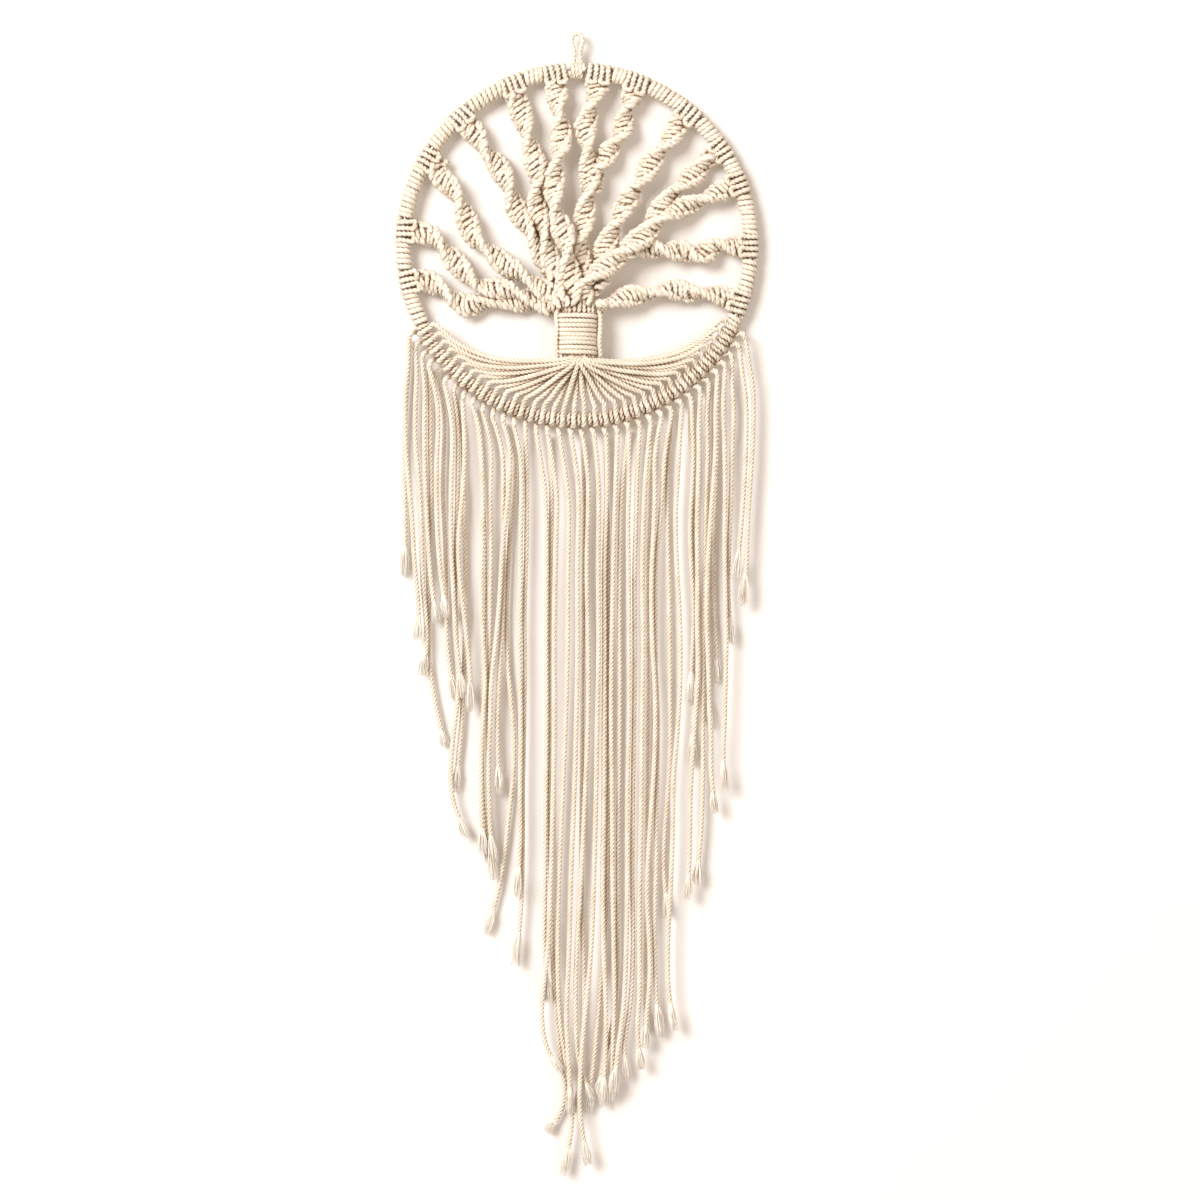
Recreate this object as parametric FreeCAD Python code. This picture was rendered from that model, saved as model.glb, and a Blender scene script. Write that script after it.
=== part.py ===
import FreeCAD, Part
import math
import os

# Knotted-cord wall hanging: a wrapped wire hoop with a tree tied inside it. Thirteen twisted
# sinnets (branches) run from the hoop to a bound trunk, the trunk's cords fan out as roots to
# the lower arc of the hoop, and each is hitched there and hangs on as a strand of the fringe.
# Millimetres. +Z is up, -Y faces the room, the wall is behind at +Y. The origin is the point
# where the hanging loop bears on its nail.

V = FreeCAD.Vector

# ---- hoop and hanging loop
HOOP_R = 123.5            # mean radius of the hoop: 250 mm across the wire outside
WIRE_R = 1.5              # 3 mm steel wire
HANG_DROP = 25.0          # from the nail down to the hoop's top centreline
RING_Z = -(HANG_DROP + HOOP_R)
LOOP_CORD_R = 1.6         # the loop's cord, pulled tight
LOOP_EYE_R = 2.15         # free radius round the nail
BAND_HALF = 5.5           # half width of the loop's knot on the hoop
BAND_OUTER_R = 5.6
BAND_BORE_R = 1.95        # runs round the wire, so that the ring can swing

# ---- cords, wraps and knots
CORD_R = 1.8              # 3.6 mm twisted cotton cord
ROOT_CORD_R = 1.7         # the same cord, pulled tight over the trunk's foot
WRAP_R = 5.0              # wire and one layer of wrapping
WIRE_GRIP_R = 1.45        # cotton squeezed round the wire
KNOT_R = 6.2              # lark's head of a branch on the hoop
KNOT_HALF_DEG = 4.4
HITCH_R = 5.8             # double half hitch of a root cord on the hoop
HITCH_HALF_DEG = 1.65
HITCHES = 36
FIRST_HITCH_DEG = -61.0   # from straight down, seen from the front
LAST_HITCH_DEG = 61.0
EXIT_R = HOOP_R + 12.8    # where a strand starts to swing, clear of its hitch
WRAP_END_DEG = 63.0       # the wrapping stops this far from straight down
SLEEVE_GAP_DEG = 0.1
LOOP_GAP_DEG = 0.2        # more room beside the loop's knot, which the ring swings in

# ---- branches, trunk and roots
BRANCH_R = 5.0            # mean radius of a twisted sinnet
BRANCH_START = 1.5        # from the wire's inner edge to the start of a sinnet
TRUNK_X = 1.8
TRUNK_Y = -6.0
TRUNK_TOP_Z = -189.0
TRUNK_BOTTOM_Z = -236.0
TRUNK_CORE = (13.0, 9.8)  # half width and half depth of the gathered cords
TRUNK_WRAP = (16.7, 13.3)
WRAP_TOP_Z = -196.5
WRAP_BOTTOM_Z = -228.6
FLARE_R = 17.6            # the cords spreading below the wrap
FLARE_Z = -230.3
FLARE_HALF_DEPTH = 7.2
ROOT_START_R = 17.0
ROOT_SPREAD_DEG = 86.0
ROOT_LAYERS = (-10.6, -6.0, -1.4)
ROOT_END_Y = -3.5
ROOT_SAG = 3.0            # of the cords that leave sideways
ROOT_LEAST_SAG = 0.2      # of every cord
ROOT_IN_HITCH = 0.3       # how far a root cord reaches into its hitch

# ---- fringe: depth of the three rows of strands, and the frayed tips
FRONT = -4.8
MIDDLE = -0.3
REAR = 4.2
CAP_R = 1.95              # rounded head of a strand, below its hitch
TIP_R = 2.2

# Angle on the hoop of each branch's knot, anticlockwise from the right seen from the front,
# and the line of its sinnet: X, Y, Z from the hoop to the trunk or to the branch it joins.
BRANCHES = {
    "branch_01": (192.6, [
        (-106, 0, -174), (-94, -1, -181), (-80, -1, -191), (-65, 0, -190), (-49, 0, -188),
    ]),
    "branch_02": (175.6, [
        (-104, -1, -142), (-89, -2, -157), (-72, -3, -176), (-55, -4, -180), (-36, -5, -185),
        (-8, -7, -195),
    ]),
    "branch_03": (150.5, [
        (-96, -1, -101), (-88, -2, -109), (-81, -3, -122), (-73, -4, -144), (-62, -5, -153),
        (-48, -6, -165), (-35, -7, -173), (-6, -9, -192),
    ]),
    "branch_04": (132.5, [
        (-72, -1, -70), (-65, -1, -82), (-56, -1, -92), (-48, -1, -109), (-41, -1, -126),
        (-28, -1, -148), (-18, -2, -172), (-6, -4, -191),
    ]),
    "branch_05": (112.0, [
        (-40, -1, -53), (-36, -2, -68), (-31, -3, -85), (-28, -4, -102), (-28, -4, -121),
        (-22, -5, -144), (-15, -6, -171), (-3, -6, -191),
    ]),
    "branch_06": (97.3, [
        (-14, -2, -51), (-11, -3, -61), (-11, -5, -75), (-14, -7, -90), (-16, -9, -106),
        (-16, -11, -122), (-11, -13, -136), (-7, -15, -153), (-5, -14, -171), (0, -11, -192),
    ]),
    "branch_07": (82.7, [
        (10, -2, -53), (6, -3, -68), (9, -4, -88), (9, -4, -107), (6, -4, -125), (3, -4, -151),
        (3, -4, -173), (4, -4, -192),
    ]),
    "branch_08": (69.9, [
        (35, -1, -55), (31, -1, -70), (24, -1, -81), (16, -1, -92), (14, 0, -102),
    ]),
    "branch_09": (49.9, [
        (65, -1, -75), (53, -3, -91), (43, -4, -107), (34, -5, -121), (26, -6, -138),
        (18, -6, -155), (11, -6, -174), (7, -5, -192),
    ]),
    "branch_10": (33.5, [
        (82, -1, -99), (68, -3, -112), (59, -5, -124), (48, -7, -139), (40, -9, -150),
    ]),
    "branch_11": (20.8, [
        (88, -2, -117), (65, -5, -127), (50, -9, -141), (38, -13, -153), (18, -15, -167),
        (6, -14, -179), (4, -10, -193),
    ]),
    "branch_12": (-0.4, [
        (99, -1, -149), (86, -2, -157), (74, -3, -153), (62, -4, -153), (45, -5, -152),
    ]),
    "branch_13": (-19.4, [
        (96, -1, -183), (80, -2, -183), (65, -3, -180), (50, -4, -184), (34, -5, -186),
        (12, -7, -195),
    ]),
}

# Route of each strand below its hitch: row, hitch counted from the left, then X and Z of its
# points. The last point is the end of the frayed tip, which starts at the point before it.
FRINGE = {
    "fringe_01": (FRONT, 0, [
        (-119.5, -232.5), (-122, -253), (-122, -284), (-120, -312), (-117, -340), (-115.5, -372),
        (-113, -395), (-112, -412), (-113.5, -429)
    ]),
    "fringe_02": (MIDDLE, 1, [
        (-113.5, -239.5), (-115, -262), (-115, -290.5), (-112, -317), (-110.5, -351),
        (-110, -386.5), (-107, -416), (-106.5, -437.5), (-110, -455)
    ]),
    "fringe_03": (MIDDLE, 2, [
        (-108, -248), (-108.5, -273), (-108.5, -308), (-106.5, -347.5), (-104.5, -379),
        (-102, -401.5), (-99.5, -417.5)
    ]),
    "fringe_04": (FRONT, 3, [
        (-99.5, -253.5), (-98, -276.5), (-100, -307), (-99.5, -344), (-97.5, -375.5),
        (-94.5, -396.5), (-93, -413.5)
    ]),
    "fringe_05": (REAR, 4, [
        (-94.5, -262), (-94.5, -287), (-96, -322.5), (-93.5, -358), (-93.5, -397), (-93, -429),
        (-90, -453), (-86, -472.5)
    ]),
    "fringe_06": (FRONT, 5, [
        (-89.5, -265.5), (-88, -287), (-89.5, -322.5), (-89.5, -361.5), (-87.5, -397), (-86, -429),
        (-83, -451.5), (-81, -470)
    ]),
    "fringe_07": (MIDDLE, 6, [
        (-84.5, -273), (-84.5, -301), (-85, -336.5), (-86.5, -372), (-86.5, -407.5), (-85, -439.5),
        (-84, -468), (-88, -496.5), (-90, -521), (-89, -540.5), (-84, -555.5), (-78, -569.5)
    ]),
    "fringe_08": (FRONT, 7, [
        (-80, -276.5), (-79.5, -297.5), (-81, -326), (-84, -351), (-84, -378), (-81, -404),
        (-77.5, -432.5), (-75.5, -458), (-75.5, -480)
    ]),
    "fringe_09": (FRONT, 8, [
        (-69, -276.5), (-67.5, -301), (-66.5, -336.5), (-67.5, -372), (-68, -404), (-66.5, -432.5),
        (-65, -457.5), (-66.5, -482), (-68, -510.5), (-68, -539), (-67.5, -561.5), (-66.5, -581.5)
    ]),
    "fringe_10": (MIDDLE, 9, [
        (-62.5, -282), (-60.5, -299.5), (-62, -329.5), (-61, -365), (-62, -404), (-62, -443),
        (-63, -482), (-62.5, -517.5), (-63, -549.5), (-62, -576.5), (-59, -599.5)
    ]),
    "fringe_11": (MIDDLE, 10, [
        (-54, -287), (-52, -308), (-52.5, -344), (-52, -379), (-53, -418.5), (-55.5, -457.5),
        (-57, -493), (-56, -517.5), (-55.5, -539)
    ]),
    "fringe_12": (FRONT, 11, [
        (-47.5, -289), (-47.5, -308), (-49.5, -334.5), (-53, -363.5), (-54.5, -395), (-57, -426),
        (-61, -457.5), (-61.5, -487), (-63, -517.5), (-62.5, -542.5), (-61.5, -566), (-59, -586.5)
    ]),
    "fringe_13": (FRONT, 12, [
        (-40.5, -292), (-39, -315.5), (-40, -354.5), (-40, -393.5), (-41, -432.5), (-40, -471.5),
        (-40, -507), (-40.5, -539), (-40, -564), (-41, -588), (-42.5, -611.5)
    ]),
    "fringe_14": (MIDDLE, 13, [
        (-36, -297.5), (-35.5, -329.5), (-36, -368.5), (-37.5, -407.5), (-37, -446.5),
        (-37.5, -489.5), (-38.5, -532), (-38.5, -571), (-39, -606.5), (-41, -635), (-43.5, -660.5)
    ]),
    "fringe_15": (MIDDLE, 14, [
        (-25.5, -303.5), (-22, -326), (-21.5, -372), (-22, -429), (-21.5, -486), (-22.5, -542.5),
        (-22.5, -599.5), (-23.5, -642), (-22, -667), (-20.5, -686.5)
    ]),
    "fringe_16": (FRONT, 15, [
        (-16.5, -306), (-14, -329.5), (-15.5, -372), (-16.5, -429), (-16, -486), (-17, -542.5),
        (-18.5, -596), (-20, -645.5), (-25.5, -687.5), (-24, -709.5), (-19, -724.5), (-10.5, -735)
    ]),
    "fringe_17": (MIDDLE, 16, [
        (-8.5, -308), (-5.5, -333), (-6.5, -375.5), (-6.5, -429), (-8, -486), (-10.5, -542.5),
        (-13, -596), (-14, -649), (-13, -695), (-9, -721.5), (-4.5, -745), (-3, -766), (-5.5, -788),
        (-10, -809.5)
    ]),
    "fringe_18": (FRONT, 17, [
        (0, -308), (1.5, -333), (0, -375.5), (0.5, -429), (-0.5, -486), (-2, -542.5), (-4.5, -596),
        (-5.5, -649), (-8, -693), (-6.5, -722), (-5, -745), (-5, -765)
    ]),
    "fringe_19": (MIDDLE, 18, [
        (8, -308), (8, -336.5), (6.5, -375.5), (8, -429), (8, -486), (5.5, -542.5), (3, -596),
        (-0.5, -649), (-1.5, -693), (0, -721.5), (4.5, -741.5), (11.5, -756.5)
    ]),
    "fringe_20": (FRONT, 19, [
        (15, -308), (15.5, -336.5), (15, -379), (15.5, -436), (14, -489.5), (13.5, -542.5),
        (12, -596), (10.5, -645.5), (6.5, -686.5), (3.5, -716.5), (2, -741.5), (1.5, -762.5),
        (4.5, -782.5), (8, -801)
    ]),
    "fringe_21": (MIDDLE, 20, [
        (21.5, -312), (20.5, -340), (19, -379), (19.5, -432.5), (19, -486), (19, -542.5),
        (18, -596), (18.5, -645.5), (20.5, -686.5), (20.5, -715), (19, -738.5), (18.5, -760)
    ]),
    "fringe_22": (MIDDLE, 21, [
        (27.5, -312), (26.5, -344), (25.5, -383), (24.5, -432.5), (24, -486), (25, -542.5),
        (25, -596), (26, -645.5), (26.5, -686.5), (25.5, -714.5), (25, -736.5), (25, -756.5)
    ]),
    "fringe_23": (FRONT, 22, [
        (37, -312), (36, -344), (36.5, -383), (37, -432.5), (37, -486), (35.5, -542.5), (36, -596),
        (35, -645.5), (33.5, -684.5), (30.5, -708.5), (27.5, -730), (27, -750)
    ]),
    "fringe_24": (MIDDLE, 23, [
        (42.5, -308), (42, -344), (40.5, -383), (41, -432.5), (40.5, -486), (39.5, -542.5),
        (39, -596), (40, -645.5), (38.5, -682.5), (35.5, -703), (32.5, -722), (35, -740.5)
    ]),
    "fringe_25": (FRONT, 24, [
        (48.5, -308), (47, -344), (46, -383), (47, -432.5), (46, -486), (45.5, -542.5),
        (44.5, -596), (44, -642), (44.5, -677.5), (42.5, -701.5), (43.5, -718.5), (45.5, -733.5)
    ]),
    "fringe_26": (FRONT, 25, [
        (54.5, -294), (55.5, -322.5), (54.5, -351), (52.5, -383), (53, -429), (55.5, -464.5),
        (55.5, -500), (53.5, -539), (50.5, -578), (49, -608.5), (51, -638.5), (52, -663),
        (50.5, -683), (48.5, -701.5), (48.5, -718.5)
    ]),
    "fringe_27": (MIDDLE, 26, [
        (62.5, -290.5), (61, -315.5), (59, -344), (56, -372), (55.5, -407.5), (55.5, -446.5),
        (57.5, -482), (57, -517.5), (56, -557), (56, -596), (54.5, -631.5), (55.5, -662),
        (56, -686.5), (59.5, -711)
    ]),
    "fringe_28": (FRONT, 27, [
        (72.5, -287), (71.5, -312), (69.5, -340), (70.5, -375.5), (72.5, -404), (73.5, -432.5),
        (73, -464.5), (71, -496.5), (67.5, -528.5), (68, -564), (66.5, -599.5), (64.5, -635),
        (64, -663), (65.5, -685.5), (69.5, -706)
    ]),
    "fringe_29": (MIDDLE, 28, [
        (81.5, -273), (83, -290.5), (82, -319), (80, -347.5), (81, -375.5), (83, -400.5),
        (82.5, -426), (81.5, -450), (80, -474.5)
    ]),
    "fringe_30": (FRONT, 29, [
        (86, -273), (86.5, -301), (85, -344), (85.5, -383), (85, -418.5), (86, -446.5), (84, -480),
        (81.5, -514), (80, -546), (80, -572.5), (79, -593.5), (78.5, -613)
    ]),
    "fringe_31": (MIDDLE, 30, [
        (91.5, -265.5), (93, -290.5), (91.5, -329.5), (91, -372), (90, -407.5), (90, -443),
        (89, -478.5), (89.5, -510.5), (89, -541), (88, -565.5), (86, -585), (85, -603)
    ]),
    "fringe_32": (FRONT, 31, [
        (98, -262), (98.5, -287), (97, -315.5), (94.5, -344), (92.5, -375.5), (91.5, -411),
        (93, -443), (93.5, -473), (95, -498.5), (94.5, -517.5), (96, -535.5), (98, -552)
    ]),
    "fringe_33": (FRONT, 32, [
        (103, -258.5), (104.5, -287), (105, -322.5), (104.5, -361.5), (105, -397), (106, -432.5),
        (105, -463), (104.5, -488.5), (103, -512.5), (105, -536)
    ]),
    "fringe_34": (MIDDLE, 33, [
        (109.5, -244.5), (111.5, -265.5), (110, -290.5), (109.5, -322.5), (108, -358), (107, -388),
        (108, -411), (109.5, -432.5)
    ]),
    "fringe_35": (FRONT, 34, [
        (116.5, -237), (120, -258.5), (120, -283.5), (119, -312), (117, -339), (115, -363.5),
        (112, -386.5)
    ]),
    "fringe_36": (FRONT, 35, [
        (121.5, -232.5), (125, -250), (125, -273), (124, -299.5), (122, -328), (120.5, -354.5),
        (120, -380), (117, -405)
    ]),
}

# Second cords that share a hitch with a front strand and hang behind it.
REAR_STRANDS = {
    "left_outer_rear_1": (REAR, 0, [
        (-120, -238), (-122, -262), (-123, -294), (-122.5, -329.5), (-122, -359.5), (-123, -384)
    ]),
    "left_outer_rear_2": (REAR, 3, [
        (-104.5, -256.5), (-104.5, -287), (-103.5, -329.5), (-106, -370.5), (-105.5, -406),
        (-106, -437.5), (-103, -463), (-99.5, -480), (-96.5, -493.5), (-93.5, -505.5)
    ]),
    "left_outer_rear_3": (REAR, 6, [
        (-81, -276.5), (-81, -308), (-80, -347.5), (-79.5, -386.5), (-79.5, -425.5), (-81, -464.5),
        (-82.5, -495), (-85, -517), (-86.5, -537.5)
    ]),
    "left_inner_rear_1": (REAR, 11, [
        (-44.5, -295), (-44.5, -319), (-47.5, -351), (-49.5, -383), (-50.5, -416), (-49.5, -446.5),
        (-46.5, -475), (-44.5, -503.5), (-45.5, -528.5), (-48.5, -553), (-51, -578),
        (-54.5, -599.5), (-59, -619), (-64.5, -638.5)
    ]),
    "left_inner_rear_2": (REAR, 8, [
        (-70, -280), (-68, -308), (-66, -347.5), (-65.5, -386.5), (-66, -425.5), (-67.5, -464.5),
        (-68, -500), (-67.5, -532), (-66.5, -553), (-64.5, -571.5), (-62.5, -587.5)
    ]),
    "centre_rear_1": (REAR, 15, [
        (-18, -312), (-18.5, -344), (-19, -393.5), (-20, -446.5), (-20, -503.5), (-19.5, -560.5),
        (-18.5, -617), (-17, -667), (-14, -702.5), (-12, -727), (-8, -747), (-10, -761),
        (-15, -771), (-21.5, -779.5)
    ]),
    "centre_rear_2": (REAR, 18, [
        (5, -312), (4.5, -351), (4.5, -404), (3.5, -461), (3.5, -517.5), (3, -574.5), (3.5, -628),
        (5, -674), (4.5, -704.5), (3.5, -727), (1.5, -747), (0, -766)
    ]),
    "centre_rear_3": (REAR, 20, [
        (20.5, -312), (22, -351), (22, -404), (22.5, -461), (22.5, -517.5), (22, -574.5),
        (20.5, -628), (17, -674), (14, -704.5), (12, -727), (9, -747), (8, -765.5)
    ]),
    "centre_rear_4": (REAR, 22, [
        (32, -312), (30.5, -351), (30, -404), (30.5, -461), (30, -517.5), (29, -574.5), (29, -628),
        (28.5, -670.5), (25.5, -702.5), (20.5, -723), (17, -739), (15, -755)
    ]),
    "centre_rear_5": (REAR, 24, [
        (52, -312), (51, -351), (49.5, -400.5), (50, -454), (50, -507), (49, -557), (49.5, -603),
        (48.5, -642), (47.5, -670.5), (48.5, -691), (51, -708.5)
    ]),
    "centre_rear_6": (REAR, 26, [
        (64.5, -297.5), (64, -329.5), (64.5, -365), (65.5, -400.5), (66, -436), (66, -471.5),
        (66.5, -503.5), (64.5, -537), (62, -567.5), (61, -590), (63, -608.5), (64, -626.5)
    ]),
    "right_outer_rear_1": (REAR, 28, [
        (80, -276.5), (82.5, -308), (83, -351), (82.5, -393.5), (81.5, -429), (82.5, -464.5),
        (82, -494.5), (82.5, -519)
    ]),
    "right_outer_rear_2": (REAR, 30, [
        (92.5, -269), (93, -297.5), (92.5, -336.5), (91.5, -375.5), (92, -415), (93, -446.5),
        (93, -470), (93.5, -490.5)
    ]),
    "right_outer_rear_3": (REAR, 31, [
        (100, -269), (99.5, -301), (98, -336.5), (97, -372), (97, -400.5), (98, -422.5),
        (99.5, -441.5), (100, -460)
    ]),
}

LOOP_ROUTE = [
    (1.75, -21.0), (1.75, -13.5), (3.75, -8.5), (3.75, 1.6), (-3.75, 1.6), (-3.75, -8.5),
    (-1.75, -13.5), (-1.75, -21.0),
]
LOOP_EYE_BEND = 3.7       # radius of the loop's line over the nail
LOOP_NECK_BEND = 5.0

RING_CENTRE = V(0, 0, RING_Z)


def on_ring(radius, degrees, y=0.0):
    """Point at a radius from the hoop's centre, anticlockwise from the right."""
    angle = math.radians(degrees)
    return V(radius * math.cos(angle), y, RING_Z + radius * math.sin(angle))


def hitch_degrees(number):
    """Angle from straight down of a hitch, counted from the left."""
    return FIRST_HITCH_DEG + (LAST_HITCH_DEG - FIRST_HITCH_DEG) * number / (HITCHES - 1)


def bend_radii(points):
    """Largest tangent arc at each inner point: 0.45 of the shorter run over tan(half turn)."""
    radii = []
    for before, point, after in zip(points, points[1:], points[2:]):
        into = point - before
        out = after - point
        turn = into.getAngle(out)
        radii.append(0.45 * min(into.Length, out.Length) / math.tan(turn / 2))
    return radii


def route_wire(points, radii):
    """Straight runs through the points, joined by tangent arcs of the given radii."""
    edges = []
    start = points[0]
    for before, point, after, radius in zip(points, points[1:], points[2:], radii):
        into = (point - before).normalize()
        out = (after - point).normalize()
        turn = into.getAngle(out)
        setback = radius * math.tan(turn / 2)
        arc_start = point - into * setback
        arc_end = point + out * setback
        to_middle = (out - into).normalize()
        middle = point + to_middle * (radius / math.cos(turn / 2) - radius)
        edges.append(Part.LineSegment(start, arc_start).toShape())
        edges.append(Part.Arc(arc_start, middle, arc_end).toShape())
        start = arc_end
    edges.append(Part.LineSegment(start, points[-1]).toShape())
    return Part.Wire(edges)


def sweep(wire, start, direction, radius):
    """Round tube of the given radius along a wire."""
    circle = Part.Circle(start, direction, radius)
    profile = Part.Wire(circle.toShape())
    return wire.makePipeShell([profile], True, False)


def tube(points, radius, radii=None):
    """Tube along a route whose corners are rounded as widely as its runs allow."""
    wire = route_wire(points, radii or bend_radii(points))
    solid = sweep(wire, points[0], points[1] - points[0], radius)
    return solid, wire.Length


def sleeve(start_deg, end_deg, outer_r, inner_r):
    """Stretch of round covering on the hoop between two angles."""
    centre = on_ring(HOOP_R, start_deg)
    angle = math.radians(start_deg)
    tangent = V(-math.sin(angle), 0, math.cos(angle))
    outer = Part.Face(Part.Wire(Part.Circle(centre, tangent, outer_r).toShape()))
    inner = Part.Face(Part.Wire(Part.Circle(centre, tangent, inner_r).toShape()))
    ring = outer.cut(inner)
    return ring.Faces[0].revolve(RING_CENTRE, V(0, -1, 0), end_deg - start_deg)


def elliptic_bar(half_width, half_depth, bottom_z, top_z):
    """Upright bar of elliptic section on the trunk's axis."""
    centre = V(TRUNK_X, TRUNK_Y, bottom_z)
    wide = centre + V(half_width, 0, 0)
    deep = centre + V(0, half_depth, 0)
    outline = Part.Ellipse(wide, deep, centre).toShape()
    return Part.Face(Part.Wire(outline)).extrude(V(0, 0, top_z - bottom_z))


def hoop():
    return [Part.makeTorus(HOOP_R, WIRE_R, RING_CENTRE, V(0, 1, 0))]


def hanging_loop():
    """Knot on the hoop with the doubled cord that goes up and over the nail."""
    band_start = V(-BAND_HALF, 0, -HANG_DROP)
    band = Part.makeCylinder(BAND_OUTER_R, 2 * BAND_HALF, band_start, V(1, 0, 0))
    bore = Part.makeCylinder(BAND_BORE_R, 2 * BAND_HALF, band_start, V(1, 0, 0))
    points = [V(x, 0, z) for x, z in LOOP_ROUTE]
    radii = [LOOP_NECK_BEND, LOOP_NECK_BEND, LOOP_EYE_BEND]
    cord, length = tube(points, LOOP_CORD_R, radii + radii[::-1])
    print("hanging loop cord", round(length, 1), "mm")
    return [band.fuse(cord).cut(bore)]


def hoop_wrap():
    """Wrapped stretches of the hoop between the knots of the branches and the loop."""
    loop_half = math.degrees(BAND_HALF / HOOP_R) + LOOP_GAP_DEG
    stops = [(angle, KNOT_HALF_DEG) for angle, _ in BRANCHES.values()]
    stops.append((90.0, loop_half))
    stops.sort()
    solids = []
    start = -90.0 + WRAP_END_DEG
    for angle, half in stops:
        end = angle - half - SLEEVE_GAP_DEG
        if end - start > 1.0:
            solids.append(sleeve(start, end, WRAP_R, WIRE_GRIP_R))
        start = angle + half + SLEEVE_GAP_DEG
    solids.append(sleeve(start, 270.0 - WRAP_END_DEG, WRAP_R, WIRE_GRIP_R))
    return solids


def branch(name):
    """One sinnet with the lark's head that ties it to the hoop."""
    angle, line = BRANCHES[name]
    knot = sleeve(angle - KNOT_HALF_DEG, angle + KNOT_HALF_DEG, KNOT_R, WIRE_GRIP_R)
    points = [on_ring(HOOP_R - WIRE_R - BRANCH_START, angle)]
    points += [V(*place) for place in line]
    body, _ = tube(points, BRANCH_R)
    return [knot.fuse(body)]


def trunk_core():
    """The gathered cords, spreading into the roots below the wrap."""
    core = elliptic_bar(*TRUNK_CORE, TRUNK_BOTTOM_Z, TRUNK_TOP_Z)
    flare_start = V(TRUNK_X, TRUNK_Y - FLARE_HALF_DEPTH, FLARE_Z)
    flare = Part.makeCylinder(FLARE_R, 2 * FLARE_HALF_DEPTH, flare_start, V(0, 1, 0))
    below_wrap = Part.makeBox(100, 100, 100, V(TRUNK_X - 50, TRUNK_Y - 50, WRAP_BOTTOM_Z - 100))
    return [core.fuse(flare.common(below_wrap))]


def trunk_wrap():
    outer = elliptic_bar(*TRUNK_WRAP, WRAP_BOTTOM_Z, WRAP_TOP_Z)
    inner = elliptic_bar(*TRUNK_CORE, WRAP_BOTTOM_Z, WRAP_TOP_Z)
    return [outer.cut(inner)]


def root_cord(number):
    """One cord from the trunk's foot to its hitch, sagging a little on the way."""
    spread = (2.0 * number / (HITCHES - 1) - 1.0) * math.radians(ROOT_SPREAD_DEG)
    layer = ROOT_LAYERS[number % len(ROOT_LAYERS)]
    start = V(TRUNK_X + ROOT_START_R * math.sin(spread), layer,
              FLARE_Z - ROOT_START_R * math.cos(spread))
    end = on_ring(HOOP_R - HITCH_R + ROOT_IN_HITCH, hitch_degrees(number) - 90.0, ROOT_END_Y)
    sag = ROOT_LEAST_SAG + ROOT_SAG * abs(math.sin(spread))
    middle = (start + end) * 0.5 - V(0, 0, sag)
    solid, _ = tube([start, middle, end], ROOT_CORD_R)
    return solid


def root_cords():
    return [root_cord(number) for number in range(HITCHES)]


def hitch_knots():
    """A double half hitch on the hoop for every root cord."""
    solids = []
    for number in range(HITCHES):
        angle = hitch_degrees(number) - 90.0
        solids.append(sleeve(angle - HITCH_HALF_DEG, angle + HITCH_HALF_DEG, HITCH_R, WIRE_GRIP_R))
    return solids


def strand(name, row, hitch, route):
    """One hanging cord with its rounded head and its frayed tip, and the cord's length."""
    head = on_ring(EXIT_R, hitch_degrees(hitch) - 90.0, row)
    points = [head] + [V(x, row, z) for x, z in route]
    body_points = points[:-1]
    radii = bend_radii(body_points)
    body, length = tube(body_points, CORD_R, radii)
    section = math.pi * CORD_R ** 2
    print(name, "length", round(length), "mm, tightest bend", round(min(radii)), "mm,",
          "volume over section times length", round(body.Volume / (section * length), 4))
    tip_run = points[-1] - points[-2]
    tip = Part.makeCone(CORD_R, TIP_R, tip_run.Length, points[-2], tip_run)
    cap = Part.makeSphere(CAP_R, head)
    return body.fuse([cap, tip])


def rear_strands(group):
    """The second cords of one part of the fringe, as separate solids."""
    names = [name for name in REAR_STRANDS if name.startswith(group)]
    return [strand(name, *REAR_STRANDS[name]) for name in names]


def save(name, solids):
    shape = solids[0] if len(solids) == 1 else Part.makeCompound(solids)
    shape.exportStep(os.path.join("parts", name + ".step"))


os.makedirs("parts", exist_ok=True)
save("hoop", hoop())
save("hanging_loop", hanging_loop())
save("hoop_wrap", hoop_wrap())
for branch_name in BRANCHES:
    save(branch_name, branch(branch_name))
save("trunk_core", trunk_core())
save("trunk_wrap", trunk_wrap())
save("root_cords", root_cords())
save("hitch_knots", hitch_knots())
for strand_name in FRINGE:
    save(strand_name, [strand(strand_name, *FRINGE[strand_name])])
for group_name in ("left_outer_rear", "left_inner_rear", "centre_rear", "right_outer_rear"):
    save(group_name, rear_strands(group_name))
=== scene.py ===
"""Knotted-cord tree in a hoop with a long fringe: the visual model, in metres, in the CAD frame.

Every cord is a swept three-ply rope. Branches are half-knot sinnets, the hoop and trunk are
bound with coils, each root cord ends in a double half hitch, and the strands of the fringe
hang below with frayed tips.
"""
import math

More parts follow.
